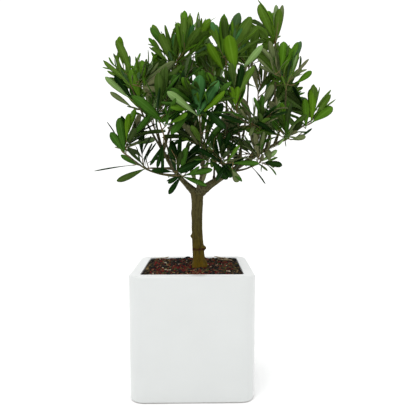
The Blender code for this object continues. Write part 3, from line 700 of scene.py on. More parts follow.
def limb_shapes(limbs):
    """Tubes of every limb and its collars, by node name."""
    shapes = {}
    for name, limb in limbs.items():
        if name == "trunk":
            path = limb.path
            radii = [limb.radius_at(d) for d in limb.run]
            points, faces = tube(path, radii, TRUNK_SIDES, trunk_reach)
            for point in points[:TRUNK_SIDES]:
                point.z = TRUNK_FOOT.z
            shapes[name] = [(points, faces)]
        else:
            shapes[name] = [limb.piece(limb.cut, limb.run[-1])]
        for child, place in limb.collars:
            shapes[name].append(child.piece(0.0, child.cut - GAP))
    return shapes


def bud_room(row, limbs):
    """The room kept free ahead of a limb's tip until its own mass has grown."""
    host = limbs[row[1]]
    end = host.path[-1]
    way = (end - host.path[-2]).normalized()
    return tube([end, end + way * BUD_LENGTH], [BUD_RADIUS, BUD_RADIUS], TWIG_SIDES)


def grow_masses(limbs, shapes):
    """Every mass in turn, clear of the limbs, the masses before it and the rooms of the later stems."""
    fixed = gather([shape for group in shapes.values() for shape in group])
    grown = []
    placed = []
    for number, row in enumerate(MASSES):
        rooms = [bud_room(later, limbs) for later in MASSES[number + 1:]]
        mass = Mass(row, limbs, fixed, gather(placed + rooms))
        mass.grow()
        placed.extend(mass.shapes())
        grown.append(mass)
    return grown


# ---- Grids of points, meshes and noise ----


def lattice(cells, seed):
    """A settled random number from 0 to 1 for each whole-number point: the fraction of a large sine."""
    value = np.sin(cells @ np.array([127.1, 311.7, 74.7]) + 17.3 * seed) * 43758.5453
    return value - np.floor(value)


def noise(points, seed=0):
    """Smooth noise from -1 to 1: the eight lattice numbers round each point, blended by smoothstep."""
    low = np.floor(points)
    share = points - low
    share = share * share * (3.0 - 2.0 * share)
    total = np.zeros(points.shape[:-1])
    for corner in np.ndindex(2, 2, 2):
        weight = np.prod(np.where(np.array(corner) == 1, share, 1.0 - share), axis=-1)
        total += weight * lattice(low + np.array(corner), seed)
    return 2.0 * total - 1.0


def unit(arrows):
    """Arrows of length one."""
    return arrows / np.linalg.norm(arrows, axis=-1, keepdims=True)


class Skin:
    """Grids of points that become one mesh. Columns close in a ring, first and last rows get a cap."""

    def __init__(self):
        self.points = []
        self.quads = []
        self.caps = []
        self.places = []
        self.slots = []
        self.count = 0

    def add(self, grids, places=None, slots=None):
        """grids has the shape (pieces, rows, columns, 3); places are its UVs, slots those of a ring's faces."""
        pieces, rows, columns = grids.shape[:3]
        index = self.count + np.arange(pieces * rows * columns).reshape(pieces, rows, columns)
        other = np.roll(index, -1, axis=2)
        quads = np.stack([index[:, :-1], other[:, :-1], other[:, 1:], index[:, 1:]], axis=-1)
        self.points.append(grids.reshape(-1, 3))
        self.quads.append(quads.reshape(-1, 4))
        self.caps.extend(index[:, 0, ::-1].tolist() + index[:, -1].tolist())
        self.places.append(np.zeros((index.size, 2)) if places is None else places.reshape(-1, 2))
        ring = np.zeros(columns, int) if slots is None else np.asarray(slots)
        self.slots.append(np.broadcast_to(ring, (pieces, rows - 1, columns)).reshape(-1))
        self.count += index.size

    def build(self, name, mats, nodes=(), smooth=True):
        """The object: it rides on the root and stands for the nodes it is given."""
        points = np.concatenate(self.points) * MM
        quads = np.concatenate(self.quads)
        mesh = bpy.data.meshes.new(name)
        mesh.from_pydata(points.tolist(), [], quads.tolist() + self.caps)
        slots = np.concatenate(self.slots + [np.zeros(len(self.caps), int)])
        mesh.polygons.foreach_set("material_index", slots.astype(np.int32))
        mesh.polygons.foreach_set("use_smooth", np.full(len(slots), smooth))
        corners = np.zeros(len(mesh.loops), np.int32)
        mesh.loops.foreach_get("vertex_index", corners)
        layer = mesh.uv_layers.new(name="places")
        layer.data.foreach_set("uv", np.concatenate(self.places)[corners].astype(np.float32).ravel())
        for mat in mats:
            mesh.materials.append(mat)
        mesh.update()
        thing = bpy.data.objects.new(name, mesh)
        bpy.context.scene.collection.objects.link(thing)
        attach(thing, "root")
        if nodes:
            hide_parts(*nodes)
        return thing


def smooth_path(corners, step):
    """A cubic curve through the corners: each stretch blends its ends and their slopes."""
    corners = np.array([tuple(corner) for corner in corners])
    run = np.concatenate([[0.0], np.cumsum(np.linalg.norm(np.diff(corners, axis=0), axis=1))])
    slopes = np.gradient(corners, run, axis=0)
    way = np.linspace(0.0, run[-1], max(3, math.ceil(run[-1] / step) + 1))
    low = np.clip(np.searchsorted(run, way, side="right") - 1, 0, len(run) - 2)
    span = (run[low + 1] - run[low])[:, None]
    share = (way - run[low])[:, None] / span
    bend_in = share ** 3 - 2.0 * share ** 2 + share
    bend_out = share ** 3 - share ** 2
    blend = 3.0 * share ** 2 - 2.0 * share ** 3
    points = corners[low] * (1.0 - blend) + corners[low + 1] * blend
    return points + span * (slopes[low] * bend_in + slopes[low + 1] * bend_out), way


def carried(path, sides, radius):
    """A ring carried along a path: middle + radius * (spoke * cos + across * sin), spokes untwisted."""
    ways = unit(np.gradient(path, axis=0))
    spoke = np.array(side_ways(Vector(ways[0]))[0])
    spokes = np.empty_like(ways)
    for row, way in enumerate(ways):
        spoke = spoke - way * (spoke @ way)
        spoke = spoke / np.linalg.norm(spoke)
        spokes[row] = spoke
    across = np.cross(ways, spokes)
    angle = 2.0 * np.pi * np.arange(sides) / sides
    out = spokes[:, None] * np.cos(angle)[:, None] + across[:, None] * np.sin(angle)[:, None]
    return path[:, None] + out * radius(angle)[..., None], out


# ---- Finishes ----


class Finish:
    """A Principled material and the few nodes that the finishes here are made of."""

    def __init__(self, name, colour, roughness, **sockets):
        self.mat = bpy.data.materials.new(name)
        self.mat.use_nodes = True
        self.tree = self.mat.node_tree
        self.shader = self.tree.nodes["Principled BSDF"]
        self.shader.inputs["Base Color"].default_value = (*colour, 1.0)
        self.shader.inputs["Roughness"].default_value = roughness
        for socket, value in sockets.items():
            self.shader.inputs[socket.replace("_", " ")].default_value = value
        self.mat.diffuse_color = (*colour, 1.0)
        self.place = self.node("ShaderNodeTexCoord").outputs["Object"]

    def node(self, kind, **inputs):
        """A node whose inputs are values or the outputs of others."""
        made = self.tree.nodes.new(kind)
        for name, value in inputs.items():
            socket = made.inputs[int(name[1:])] if name[0] == "i" and name[1:].isdigit() else made.inputs[name]
            if isinstance(value, bpy.types.NodeSocket):
                self.tree.links.new(value, socket)
            else:
                socket.default_value = value
        return made

    def speckle(self, scale, detail=2.0, stretch=(1.0, 1.0, 1.0), rough=0.5):
        """Noise on Object coordinates with so many cells to the metre, stretched along the axes."""
        mapped = self.node("ShaderNodeMapping", Vector=self.place, Scale=stretch).outputs[0]
        made = self.node("ShaderNodeTexNoise", Vector=mapped, Scale=scale, Detail=detail, Roughness=rough)
        return made.outputs["Fac"]

    def ramp(self, value, *stops):
        """A colour or a grey for each height of a value, from (place, colour) stops."""
        made = self.node("ShaderNodeValToRGB", Fac=value)
        line = made.color_ramp
        while len(line.elements) < len(stops):
            line.elements.new(0.5)
        for element, (place, colour) in zip(line.elements, stops):
            element.position = place
            element.color = (*colour, 1.0) if isinstance(colour, tuple) else (colour, colour, colour, 1.0)
        return made.outputs["Color"]

    def mix(self, share, first, second, kind="MIX"):
        """Two colours mixed by a share."""
        made = self.tree.nodes.new("ShaderNodeMix")
        made.data_type = "RGBA"
        made.blend_type = kind
        for socket, value in ((made.inputs[0], share), (made.inputs[6], first), (made.inputs[7], second)):
            if isinstance(value, bpy.types.NodeSocket):
                self.tree.links.new(value, socket)
            else:
                socket.default_value = (*value, 1.0) if isinstance(value, tuple) else value
        return made.outputs[2]

    def colour(self, value):
        self.tree.links.new(value, self.shader.inputs["Base Color"])

    def roughness(self, value):
        self.tree.links.new(value, self.shader.inputs["Roughness"])

    def bump(self, height, distance, strength=1.0):
        """Relief of a height in metres."""
        made = self.node("ShaderNodeBump", Height=height, Distance=distance, Strength=strength)
        self.tree.links.new(made.outputs[0], self.shader.inputs["Normal"])


def glaze_finish():
    """White satin glaze: faint clouding, soft unevenness in its shine and surface, a painted highlight on the rim
    top and a painted contact shadow on the lowest millimetre.
    """
    made = Finish("white_glaze", GLAZE_WHITE, 0.34, Coat_Weight=0.25, Coat_Roughness=0.22)
    cloud = made.speckle(22.0, 3.0)
    base = made.mix(made.ramp(cloud, (0.3, 0.0), (0.7, 1.0)), GLAZE_WHITE, GLAZE_SHADE)
    height = made.node("ShaderNodeSeparateXYZ", Vector=made.place).outputs["Z"]
    # Painted highlight: the glaze turns brighter over the top 1.2 mm of the pot.
    rim = {"Value": height, "From Min": (POT_HEIGHT - 1.2) * MM, "From Max": (POT_HEIGHT - 0.1) * MM}
    glazed = made.mix(made.node("ShaderNodeMapRange", **rim).outputs[0], base, RIM_PAINTED_LIGHT)
    # Painted contact shadow: grey-brown below 0.6 mm, fading into the glaze by 1.4 mm.
    bare = {"Value": height, "From Min": 0.6 * MM, "From Max": 1.4 * MM}
    made.colour(made.mix(made.node("ShaderNodeMapRange", **bare).outputs[0], FOOT_PAINTED_SHADOW, glazed))
    made.roughness(made.ramp(made.speckle(60.0, 2.0), (0.3, 0.30), (0.7, 0.40)))
    made.bump(made.speckle(35.0, 2.0), 0.0004, 0.25)
    return made.mat


def bark_finish():
    """Trunk bark: ochre at the foot, olive brown above and greyer at the fork, with cracks and flecks."""
    made = Finish("trunk_bark", BARK_MID, 0.82, Specular_IOR_Level=0.08)
    height = made.node("ShaderNodeSeparateXYZ", Vector=made.place).outputs["Z"]
    rise = made.node("ShaderNodeMapRange", **{"Value": height, "From Min": 0.128, "From Max": 0.228}).outputs[0]
    wander = made.speckle(90.0, 3.0)
    sway = made.node("ShaderNodeMath", i0=wander, i1=0.16)
    sway.operation = "MULTIPLY"
    level = made.node("ShaderNodeMath", i0=rise, i1=sway.outputs[0])
    base = made.ramp(level.outputs[0], (0.10, BARK_FOOT), (0.36, BARK_LOW), (0.62, BARK_MID), (1.0, BARK_HIGH))
    streak = made.speckle(420.0, 4.0, (1.0, 1.0, 0.22), 0.65)
    dark = made.mix(made.ramp(streak, (0.34, 0.60), (0.52, 0.0)), base, BARK_CRACK)
    fleck = made.speckle(900.0, 3.0, (1.0, 1.0, 0.6), 0.6)
    flecked = made.mix(made.ramp(fleck, (0.60, 0.0), (0.78, 0.55)), dark, BARK_LICHEN)
    low, high = SCAR_FROM, SCAR_TO
    across = made.node("ShaderNodeMapRange", **{"Value": height, "From Min": low, "From Max": high}).outputs[0]
    band = made.ramp(across, (0.0, 0.0), (0.35, 1.0), (0.65, 1.0), (1.0, 0.0))
    broken = made.ramp(made.speckle(260.0, 3.0), (0.40, 0.15), (0.56, 0.95))
    made.colour(made.mix(made.mix(1.0, band, broken, "MULTIPLY"), flecked, BARK_SCAR))
    made.bump(streak, 0.0008, 0.5)
    return made.mat


def limb_finish():
    """Bark of the boughs: grey brown with short paler streaks."""
    made = Finish("bough_bark", LIMB_GREY, 0.78, Specular_IOR_Level=0.08)
    patch = made.speckle(160.0, 3.0)
    base = made.mix(made.ramp(patch, (0.38, 0.0), (0.62, 1.0)), LIMB_GREY, LIMB_OLIVE)
    streak = made.speckle(800.0, 3.0, (1.0, 1.0, 0.5), 0.6)
    made.colour(made.mix(made.ramp(streak, (0.40, 0.7), (0.56, 0.0)), base, BARK_CRACK))
    made.bump(streak, 0.0006, 0.5)
    return made.mat


def twig_finish():
    """Young twigs: smooth, pale olive, browner in places."""
    made = Finish("young_twig", TWIG_OLIVE, 0.6, Specular_IOR_Level=0.12)
    patch = made.speckle(120.0, 3.0)
    made.colour(made.mix(made.ramp(patch, (0.35, 0.0), (0.65, 1.0)), TWIG_OLIVE, TWIG_BROWN))
    made.bump(made.speckle(900.0, 2.0), 0.0003, 0.4)
    return made.mat


def leaf_finish(name, colour, second, roughness):
    """Leaf side: two near greens in soft patches, a paler midrib and margin, and fine veins as relief.

    The UV map's second number runs across the leaf, so its distance from the middle is 0 on the rib."""
    rib = tuple(RIB_LIGHTER * share + 0.01 for share in second)
    made = Finish(name, colour, roughness, Specular_IOR_Level=0.02)
    patch = made.ramp(made.speckle(70.0, 3.0), (0.35, 0.0), (0.66, 1.0))
    base = made.mix(patch, colour, second)
    places = made.node("ShaderNodeUVMap")
    places.uv_map = "places"
    across = made.node("ShaderNodeSeparateXYZ", Vector=places.outputs[0]).outputs["Y"]
    offset = made.node("ShaderNodeMath", i0=across, i1=0.5)
    offset.operation = "SUBTRACT"
    distance = made.node("ShaderNodeMath", i0=offset.outputs[0])
    distance.operation = "ABSOLUTE"
    line = made.ramp(distance.outputs[0], (0.0, 0.55), (0.05, 0.25), (0.10, 0.0), (0.45, 0.0), (0.5, 0.15))
    made.colour(made.mix(line, base, rib))
    made.bump(made.speckle(600.0, 3.0), 0.0003, 0.35)
    return made.mat


def stone_finish(name, first, second, roughness=0.9):
    """Grit of one kind: two near colours in small patches, and a rough surface."""
    made = Finish(name, first, roughness, Specular_IOR_Level=0.1)
    made.colour(made.mix(made.ramp(made.speckle(500.0, 3.0), (0.38, 0.0), (0.62, 1.0)), first, second))
    made.bump(made.speckle(1500.0, 3.0), 0.0005, 0.6)
    return made.mat


# ---- Planter and its fill ----


def rounded_ring(half, corner):
    """Points round a square with rounded corners: four quarter circles joined by straight sides."""
    quarter = np.arange(4)[:, None]
    turn = np.linspace(0.0, 1.0, RING_CORNER)[None, :]
    angle = 0.5 * np.pi * (quarter + turn)
    middle = 0.5 * np.pi * (quarter + 0.5)
    centre = (half - corner) * np.stack([np.sign(np.cos(middle)), np.sign(np.sin(middle))], axis=-1)
    arc = centre + corner * np.stack([np.cos(angle), np.sin(angle)], axis=-1)
    side = np.linspace(0.0, 1.0, RING_SIDE + 2)[1:-1][None, :, None]
    straight = arc[:, -1:] * (1.0 - side) + np.roll(arc, -1, axis=0)[:, :1] * side
    return np.concatenate([arc, straight], axis=1).reshape(-1, 2)


def quarter_arc(inset, height, radius, first, count=7):
    """Insets and heights along a rounded edge, a quarter of a circle from its first angle."""
    angle = np.radians(first + np.linspace(0.0, 90.0, count))
    return np.stack([inset - radius * np.cos(angle), height + radius * np.sin(angle)], axis=-1)


def make_pot():
    """The profile of wall, rim and inside, carried round a rounded square and closed under the floor."""
    wall = np.stack([np.zeros(13), np.linspace(FOOT_ROUND, POT_HEIGHT - RIM_ROUND, 15)[1:-1]], axis=-1)
    outside = [quarter_arc(FOOT_ROUND, FOOT_ROUND, FOOT_ROUND, -90.0), wall]
    outside = np.concatenate(outside + [quarter_arc(RIM_ROUND, POT_HEIGHT - RIM_ROUND, RIM_ROUND, 0.0)])
    lip = POT_WALL - RIM_INNER_ROUND
    rim = np.stack([np.linspace(RIM_ROUND, lip, 5)[1:-1], np.full(3, POT_HEIGHT)], axis=-1)
    down = np.array([(POT_WALL, POT_HEIGHT - 12.0), (POT_WALL, 40.0), (POT_WALL, POT_FLOOR)])
    inside_wall = [rim, quarter_arc(lip, POT_HEIGHT - RIM_INNER_ROUND, RIM_INNER_ROUND, 90.0, 5), down]
    rings = [np.c_[rounded_ring(30.0, 10.0), np.zeros(RING_COUNT)]]
    for inset, height in outside:
        half = 0.5 * (POT_FOOT_WIDTH + (POT_WIDTH - POT_FOOT_WIDTH) * height / POT_HEIGHT)
        rings.append(np.c_[rounded_ring(half - inset, SHOWN_CORNER - inset), np.full(RING_COUNT, height)])
    for inset, height in np.concatenate(inside_wall):
        share = min(1.0, (inset - RIM_ROUND) / (lip - RIM_ROUND))
        corner = (SHOWN_CORNER - RIM_ROUND) * (1.0 - share) + (POT_INNER_CORNER + POT_WALL - lip) * share
        rings.append(np.c_[rounded_ring(0.5 * POT_WIDTH - inset, corner), np.full(RING_COUNT, height)])
    rings.append(np.c_[rounded_ring(12.0, 4.0), np.full(RING_COUNT, POT_FLOOR)])
    grid = np.array(rings)
    soft = noise(grid * 0.035, 3)[..., None] * POT_SWAY * (grid[..., 2:] > 4.0)
    grid[..., :2] *= 1.0 + 2.0 * soft / POT_WIDTH
    skin = Skin()
    skin.add(grid[None])
    return skin.build("pot_shell", [glaze_finish()], ["pot"])


def soil_height(across):
    """Height of the grit: its level, low swells, small lumps, and a slight dip about the trunk."""
    flat = np.concatenate([across, np.zeros((*across.shape[:-1], 1))], axis=-1)
    foot = np.array([TRUNK_FOOT.x, TRUNK_FOOT.y])
    dip = -1.5 * np.exp(-np.sum((across - foot) ** 2, axis=-1) / 30.0 ** 2)
    edge = np.max(np.abs(across), axis=-1) / (0.5 * POT_WIDTH - POT_WALL)
    fall = -0.7 * np.clip((edge - 0.95) / 0.05, 0.0, 1.0) ** 2
    return SOIL_TOP + 0.9 + dip + fall + 0.6 * noise(flat * 0.06, 5) + 0.5 * noise(flat * 0.35, 6)


def make_soil():
    """Rings that shrink towards the middle, lifted to the height of the grit, over a plain block."""
    half = 0.5 * POT_WIDTH - POT_WALL - 0.3
    edge = rounded_ring(half, POT_INNER_CORNER)
    shares = np.linspace(1.0, 0.01, 60)
    top = edge[None] * shares[:, None, None]
    crust = np.concatenate([top, soil_height(top)[..., None]], axis=-1)
    below = [np.c_[edge * share, np.full(RING_COUNT, height)] for share, height in
             ((0.05, POT_FLOOR + 0.3), (1.0, POT_FLOOR + 0.3), (1.0, 60.0), (1.0, SOIL_TOP - 6.0))]
    skin = Skin()
    skin.add(np.concatenate([np.array(below), crust])[None])
    return skin.build("grit_bed", [stone_finish("grit_bed", GRIT_DARK, GRIT_BROWN)], ["soil"])


def lumps(centres, sizes, rng, rough=0.16):
    """Pebbles: a ball of five rings of seven points, each point drawn in or out, stretched and turned."""
    count = len(centres)
    rise = np.radians(np.array([-62.0, -28.0, 4.0, 34.0, 66.0]))[:, None]
    turn = 2.0 * np.pi * np.arange(7)[None, :] / 7.0
    ball = np.stack(np.broadcast_arrays(np.cos(rise) * np.cos(turn), np.cos(rise) * np.sin(turn), np.sin(rise)), -1)
    shape = ball[None] * (1.0 + rough * rng.uniform(-1.0, 1.0, (count, 5, 7, 1)))
    shape = shape * sizes[:, None, None, :]
    a, b, c = rng.uniform(0.0, 2.0 * np.pi, (3, count))
    b = b * 0.12
    first = np.stack([np.cos(a), -np.sin(a), 0 * a, np.sin(a), np.cos(a), 0 * a, 0 * a, 0 * a, 1 + 0 * a], -1)
    tilt = np.stack([1 + 0 * b, 0 * b, 0 * b, 0 * b, np.cos(b), -np.sin(b), 0 * b, np.sin(b), np.cos(b)], -1)
    turned = np.einsum("nij,njk,nrck->nrci", first.reshape(-1, 3, 3), tilt.reshape(-1, 3, 3), shape)
    return centres[:, None, None, :] + turned


def make_grit():
    """Loose grit strewn on the fill, each kind a piece of its own, with its stones half sunk."""
    rng = np.random.default_rng(21)
    made = []
    reach = 0.5 * POT_WIDTH - POT_WALL - 2.6
    for name, first, second, count, small, large in GRIT_KINDS:
        across = rng.uniform(-reach, reach, (count, 2))
        if name == "maroon":
            across[:, 0] *= 0.88 * np.abs(across[:, 0] / reach) ** 0.15
        foot = np.array([TRUNK_FOOT.x, TRUNK_FOOT.y])
        across = across[np.linalg.norm(across - foot, axis=-1) > 8.5]
        single = np.array([row[1:] for row in STONES if row[0] == name], float).reshape(-1, 3)
        size = np.concatenate([rng.uniform(small, large, (len(across), 1)), single[:, 2:]])
        across = np.concatenate([across, single[:, :2]])
        size = size * np.array([1.0, 0.8, 0.6])
        size = size * rng.uniform(0.8, 1.2, size.shape)
        centres = np.c_[across, soil_height(across) + 0.15 * size[:, 2]]
        centres[:, 2] = np.minimum(centres[:, 2], SOIL_TOP + 1.6)
        skin = Skin()
        skin.add(lumps(centres, 0.5 * size, rng))
        made.append(skin.build("grit_" + name, [stone_finish("grit_" + name, first, second)], (), False))
    return made


def make_chips():
    """Slivers of wood: a thin lens shape carried from its foot on the grit to its raised tip."""
    skin = Skin()
    rng = np.random.default_rng(8)
    for x, y, tip_x, tip_y, rise, width in CHIPS:
        share = np.linspace(0.0, 1.0, 12)
        foot = np.array([x, y, soil_height(np.array([[x, y]]))[0] + 1.2])
        tip = np.array([tip_x, tip_y, soil_height(np.array([[tip_x, tip_y]]))[0] + 1.2 + rise])
        middle = foot + share[:, None] * (tip - foot)
        middle[:, 2] += 0.3 * np.sin(share * 7.0)
        side = unit(np.cross(tip - foot, np.array([0.0, 0.0, 1.0])))
        up = unit(np.cross(side, tip - foot))
        half = 0.5 * width * (1.0 - np.abs(2.0 * share - 1.0) ** 6) * (1.0 + 0.1 * rng.uniform(-1, 1, 12)) + 0.15
        around = 2.0 * np.pi * np.arange(10) / 10.0
        out = half[:, None, None] * np.cos(around)[None, :, None] * side
        lift = 0.5 * np.minimum(half, 1.0)[:, None, None] * np.sin(around)[None, :, None] * up
        skin.add((middle[:, None] + out + lift)[None, :, ::-1])
    return skin.build("wood_chips", [stone_finish("wood_chip", CHIP_PALE, CHIP_BROWN, 0.8)])


# ---- Trunk and boughs ----


def flare(height, angle):
    """Swelling of the foot into low roots, as on the solid, fading with height."""
    fade = np.exp(-(height / FLARE_HEIGHT) ** 2)
    lobes = 0.5 + 0.5 * np.cos(FLARE_ROOTS * angle + 0.9) + 0.25 * np.cos(angle - 0.5)
    return fade * np.maximum(0.0, lobes) * 0.7 * FLARE_REACH / 7.4


def bark_relief(points, along, coarse, fine):
    """Depth of the bark: cracks that run up the wood where noise is near nought, and fine grain."""
    stretched = points * np.array([1.0, 1.0, 0.22])
    crack = 1.0 - np.clip(np.abs(noise(stretched * 0.9, 1)) / 0.35, 0.0, 1.0)
    wrinkle = noise(np.stack([along * 0.75, points[..., 0] * 0.12, points[..., 1] * 0.12], -1), 2)
    return coarse * (0.4 * noise(stretched * 0.45, 4) - crack) + fine * (noise(points * 1.6, 7) + 0.8 * wrinkle)


def make_trunk(limbs):
    """The trunk's ring carried along its path: taper, root flare, knots and bark relief."""
    trunk = limbs["trunk"]
    path, along = smooth_path(trunk.path, 0.7)
    share = along / along[-1]
    table = np.array(TRUNK_RADII)
    size = 1.04 * np.interp(share, table[:, 0], table[:, 1])

    def radius(angle):
        ring = size[:, None] * (1.0 + flare(along[:, None], angle[None, :]))
        ring = ring + FORK_SHOULDER * np.exp(-((share[:, None] - 1.0) / 0.06) ** 2) * np.sin(angle[None, :]) ** 2
        for height, side, spread, rise in KNOTS:
            off = np.angle(np.exp(1j * (angle[None, :] - math.radians(side)))) * size[:, None]
            near = np.hypot(off, (along[:, None] - height)) / spread
            ring = ring + rise * np.exp(-near ** 2) - 0.3 * rise * np.exp(-(near * 3.0) ** 2)
        flat = np.stack(np.broadcast_arrays(size[:, None] * np.cos(angle), size[:, None] * np.sin(angle),
                                            along[:, None]), -1)
        return ring + bark_relief(flat, np.broadcast_to(along[:, None], flat.shape[:2]), 0.16, 0.08)

    grid, out = carried(path, 112, radius)
    foot = grid[0] - np.array([0.0, 0.0, 3.0])
    top = path[-1] + (grid[-1] - path[-1]) * 0.55 + np.array([0.0, 0.0, 1.6])
    grid = np.concatenate([foot[None], grid, top[None]])
    skin = Skin()
    skin.add(grid[None])
    return skin.build("trunk_bark", [bark_finish()], ["trunk"])


def make_boughs(limbs):
    """Each limb's ring carried from its parent's middle to its tip, thicker where it leaves the parent."""
    skin = Skin()
    for name, limb in limbs.items():
        if name == "trunk":
            continue
        path, along = smooth_path(limb.path, 1.3)
        share = along / along[-1]
        start = limb.radius_at(0.0)
        size = start + (limb.radius_at(limb.run[-1]) - start) * share
        swell = 1.0 + 0.62 * np.exp(-np.maximum(0.0, along - 6.0) / (4.0 * start))
        joints = 0.10 * np.maximum(0.0, np.cos(along / BOUGH_NODE * 2.0 * np.pi)) ** 6
        sides = 28 if start > 1.9 else 14

        def radius(angle):
            flat = np.stack(np.broadcast_arrays(size[:, None] * np.cos(angle), size[:, None] * np.sin(angle),
                                                along[:, None]), -1) + start * 31.0
            depth = bark_relief(flat, np.broadcast_to(along[:, None], flat.shape[:2]), 0.16, 0.10)
            return size[:, None] * (swell + joints)[:, None] * (1.0 + depth / start * min(1.0, start / 1.6))

        grid, out = carried(path, sides, radius)
        skin.add(grid[None])
    return skin.build("bough_bark", [limb_finish()], ["bough_" + row[0] for row in LIMBS])


# ---- Twigs and leaves ----


def seen_at(point):
    """Where the camera sees a point against the upright plane through the trunk: across and up."""
    eye = Vector(CAMERA_PLACE)
    share = eye.y / (eye.y - point.y)
    return eye.x + (point.x - eye.x) * share, eye.z + (point.z - eye.z) * share


def in_the_open(points):
    """Whether any of the points shows in an open place of the crown."""
    for point in points:
        across, up = seen_at(point)
        if any(math.hypot(across - x, up - z) < reach for x, z, reach in OPEN_PLACES):
            return True
    return False


def fine_twig(mass, twig, place, turn, length, rng, own):
    """A finer twig out of a twig, or nothing where it would leave the room or touch another piece."""
    start = point_at(twig["path"], twig["run"], place)
    axis = (point_at(twig["path"], twig["run"], place + 1.5) - start).normalized()
    if axis.length < 0.5:
        axis = (twig["path"][-1] - twig["path"][-2]).normalized()
    first, second = side_ways(axis)
    for attempt in range(TWIG_TRIES):
        spin = math.radians(turn + 55.0 * attempt)
        lean = math.radians(rng.uniform(34.0, 58.0))
        out = first * math.cos(spin) + second * math.sin(spin)
        way = (axis * math.cos(lean) + out * math.sin(lean) + UP * 0.15).normalized()
        made = twig_path(start, (way,), length, FINE_RADIUS)
        beyond = twig_path(start + way * SHOOT_FREE, (way,), length - SHOOT_FREE, FINE_RADIUS)
        if in_the_open(made["path"]) or not inside(made["path"], mass.room, mass.reach):
            continue
        if not overlaps(twig_shape(beyond), [mass.fixed, own]):
            return made
    return None


def fine_leaf(mass, twig, place, turn, angle, scale, seed, own):
    """A small leaf that keeps out of the open places, and whether it was set."""
    set_leaf = mass.leaf(twig, place, turn, angle, scale, random.Random(seed), own)
    if set_leaf:
        leaf = mass.leaves[-1]
        reaches = [leaf["root"] + leaf["way"] * (leaf["length"] * share) for share in (0.4, 0.7, 1.0)]
        if in_the_open(reaches):
            mass.leaves.pop()
            return False
        leaf["width"] *= FINE_SLIM
    return set_leaf


def at_depth(across, up, depth):
    """The point at a depth that the camera sees at a place in the plane of the trunk."""
    eye = Vector(CAMERA_PLACE)
    share = (eye.y - depth) / eye.y
    return Vector((eye.x + (across - eye.x) * share, depth, eye.z + (up - eye.z) * share))


def single_sprays(limbs, masses):
    """The single sprays: each on a thin stem from the twig or limb that shows next to its foot.

    Among the places that show within reach the one nearest to the camera is taken."""
    rng = random.Random(44)
    wood = [point for name, limb in limbs.items() if name != "trunk" for point in limb.path]
    wood += [point for mass in masses for twig in mass.twigs for point in twig["path"]]
    seen = [(point, *seen_at(point)) for point in wood]
    stems = []
    leaves = []
    for kind, across, up, tips in SPRAYS:
        near = [(math.hypot(x - across, z - up), point.y, point) for point, x, z in seen]
        close = [row for row in near if row[0] < SPRAY_NEAR]
        anchor = min(close, key=lambda row: row[1])[2] if close else min(near)[2]
        root = at_depth(across, up, anchor.y - 1.0)
        stems.append((anchor, root))
        for tip_across, tip_up, width in tips:
            tip = at_depth(tip_across, tip_up, root.y + SPRAY_LEAN.get(kind, rng.uniform(-6.0, 4.0)))
            way = (tip - root).normalized()
            face = Vector((rng.uniform(-0.3, 0.3), -1.0, rng.uniform(-0.1, 0.5)))
            side = way.cross(face).normalized()
            leaves.append((kind, {"root": root, "way": way, "side": side, "up": side.cross(way).normalized(),
                                  "length": (tip - root).length, "width": width}))
    return stems, leaves


def outward(point):
    """How far out in the crown a point is: 0 in its middle, 1 at its mean reach."""
    return math.hypot(*((at - mid) / half for at, mid, half in zip(point, CROWN_MIDDLE, CROWN_HALVES)))


def fine_growth(mass, number):
    """Finer twigs on a mass's twigs, small leaf pairs on them, and a tuft at each twig's end."""
    rng = random.Random(FINE_SEED + number)
    coarse = [twig for twig in mass.twigs if outward(twig["path"][-1]) < OUTER_SHELL]
    fresh = []
    for twig in coarse:
        own = mass.own(twig)
        length = twig["run"][-1]
        for index in range(FINE_TWIGS):
            place = length * (0.30 + 0.5 * (index + rng.uniform(0.0, 0.6)) / FINE_TWIGS)
            turn = rng.uniform(0.0, 360.0)
            made = fine_twig(mass, twig, place, turn, FINE_LENGTH * rng.uniform(0.8, 1.25), rng, own)
            if made:
                mass.twigs.append(made)
                fresh.append(made)
    for twig in coarse + fresh:
        own = mass.own(twig)
        size, places = (FINE_LEAF, FINE_PLACES) if twig in fresh else (TUFT_LEAF, TUFT_PLACES)
        turn = rng.uniform(0.0, 360.0)
        for place, angle in places:
            turn += 90.0
            for side in (0.0, 180.0):
                scale = size * rng.uniform(0.85, 1.15)
                spot = twig["run"][-1] * place
                if fine_leaf(mass, twig, spot, turn + side, angle, scale, rng.random(), own):
                    own = mass.own(twig)


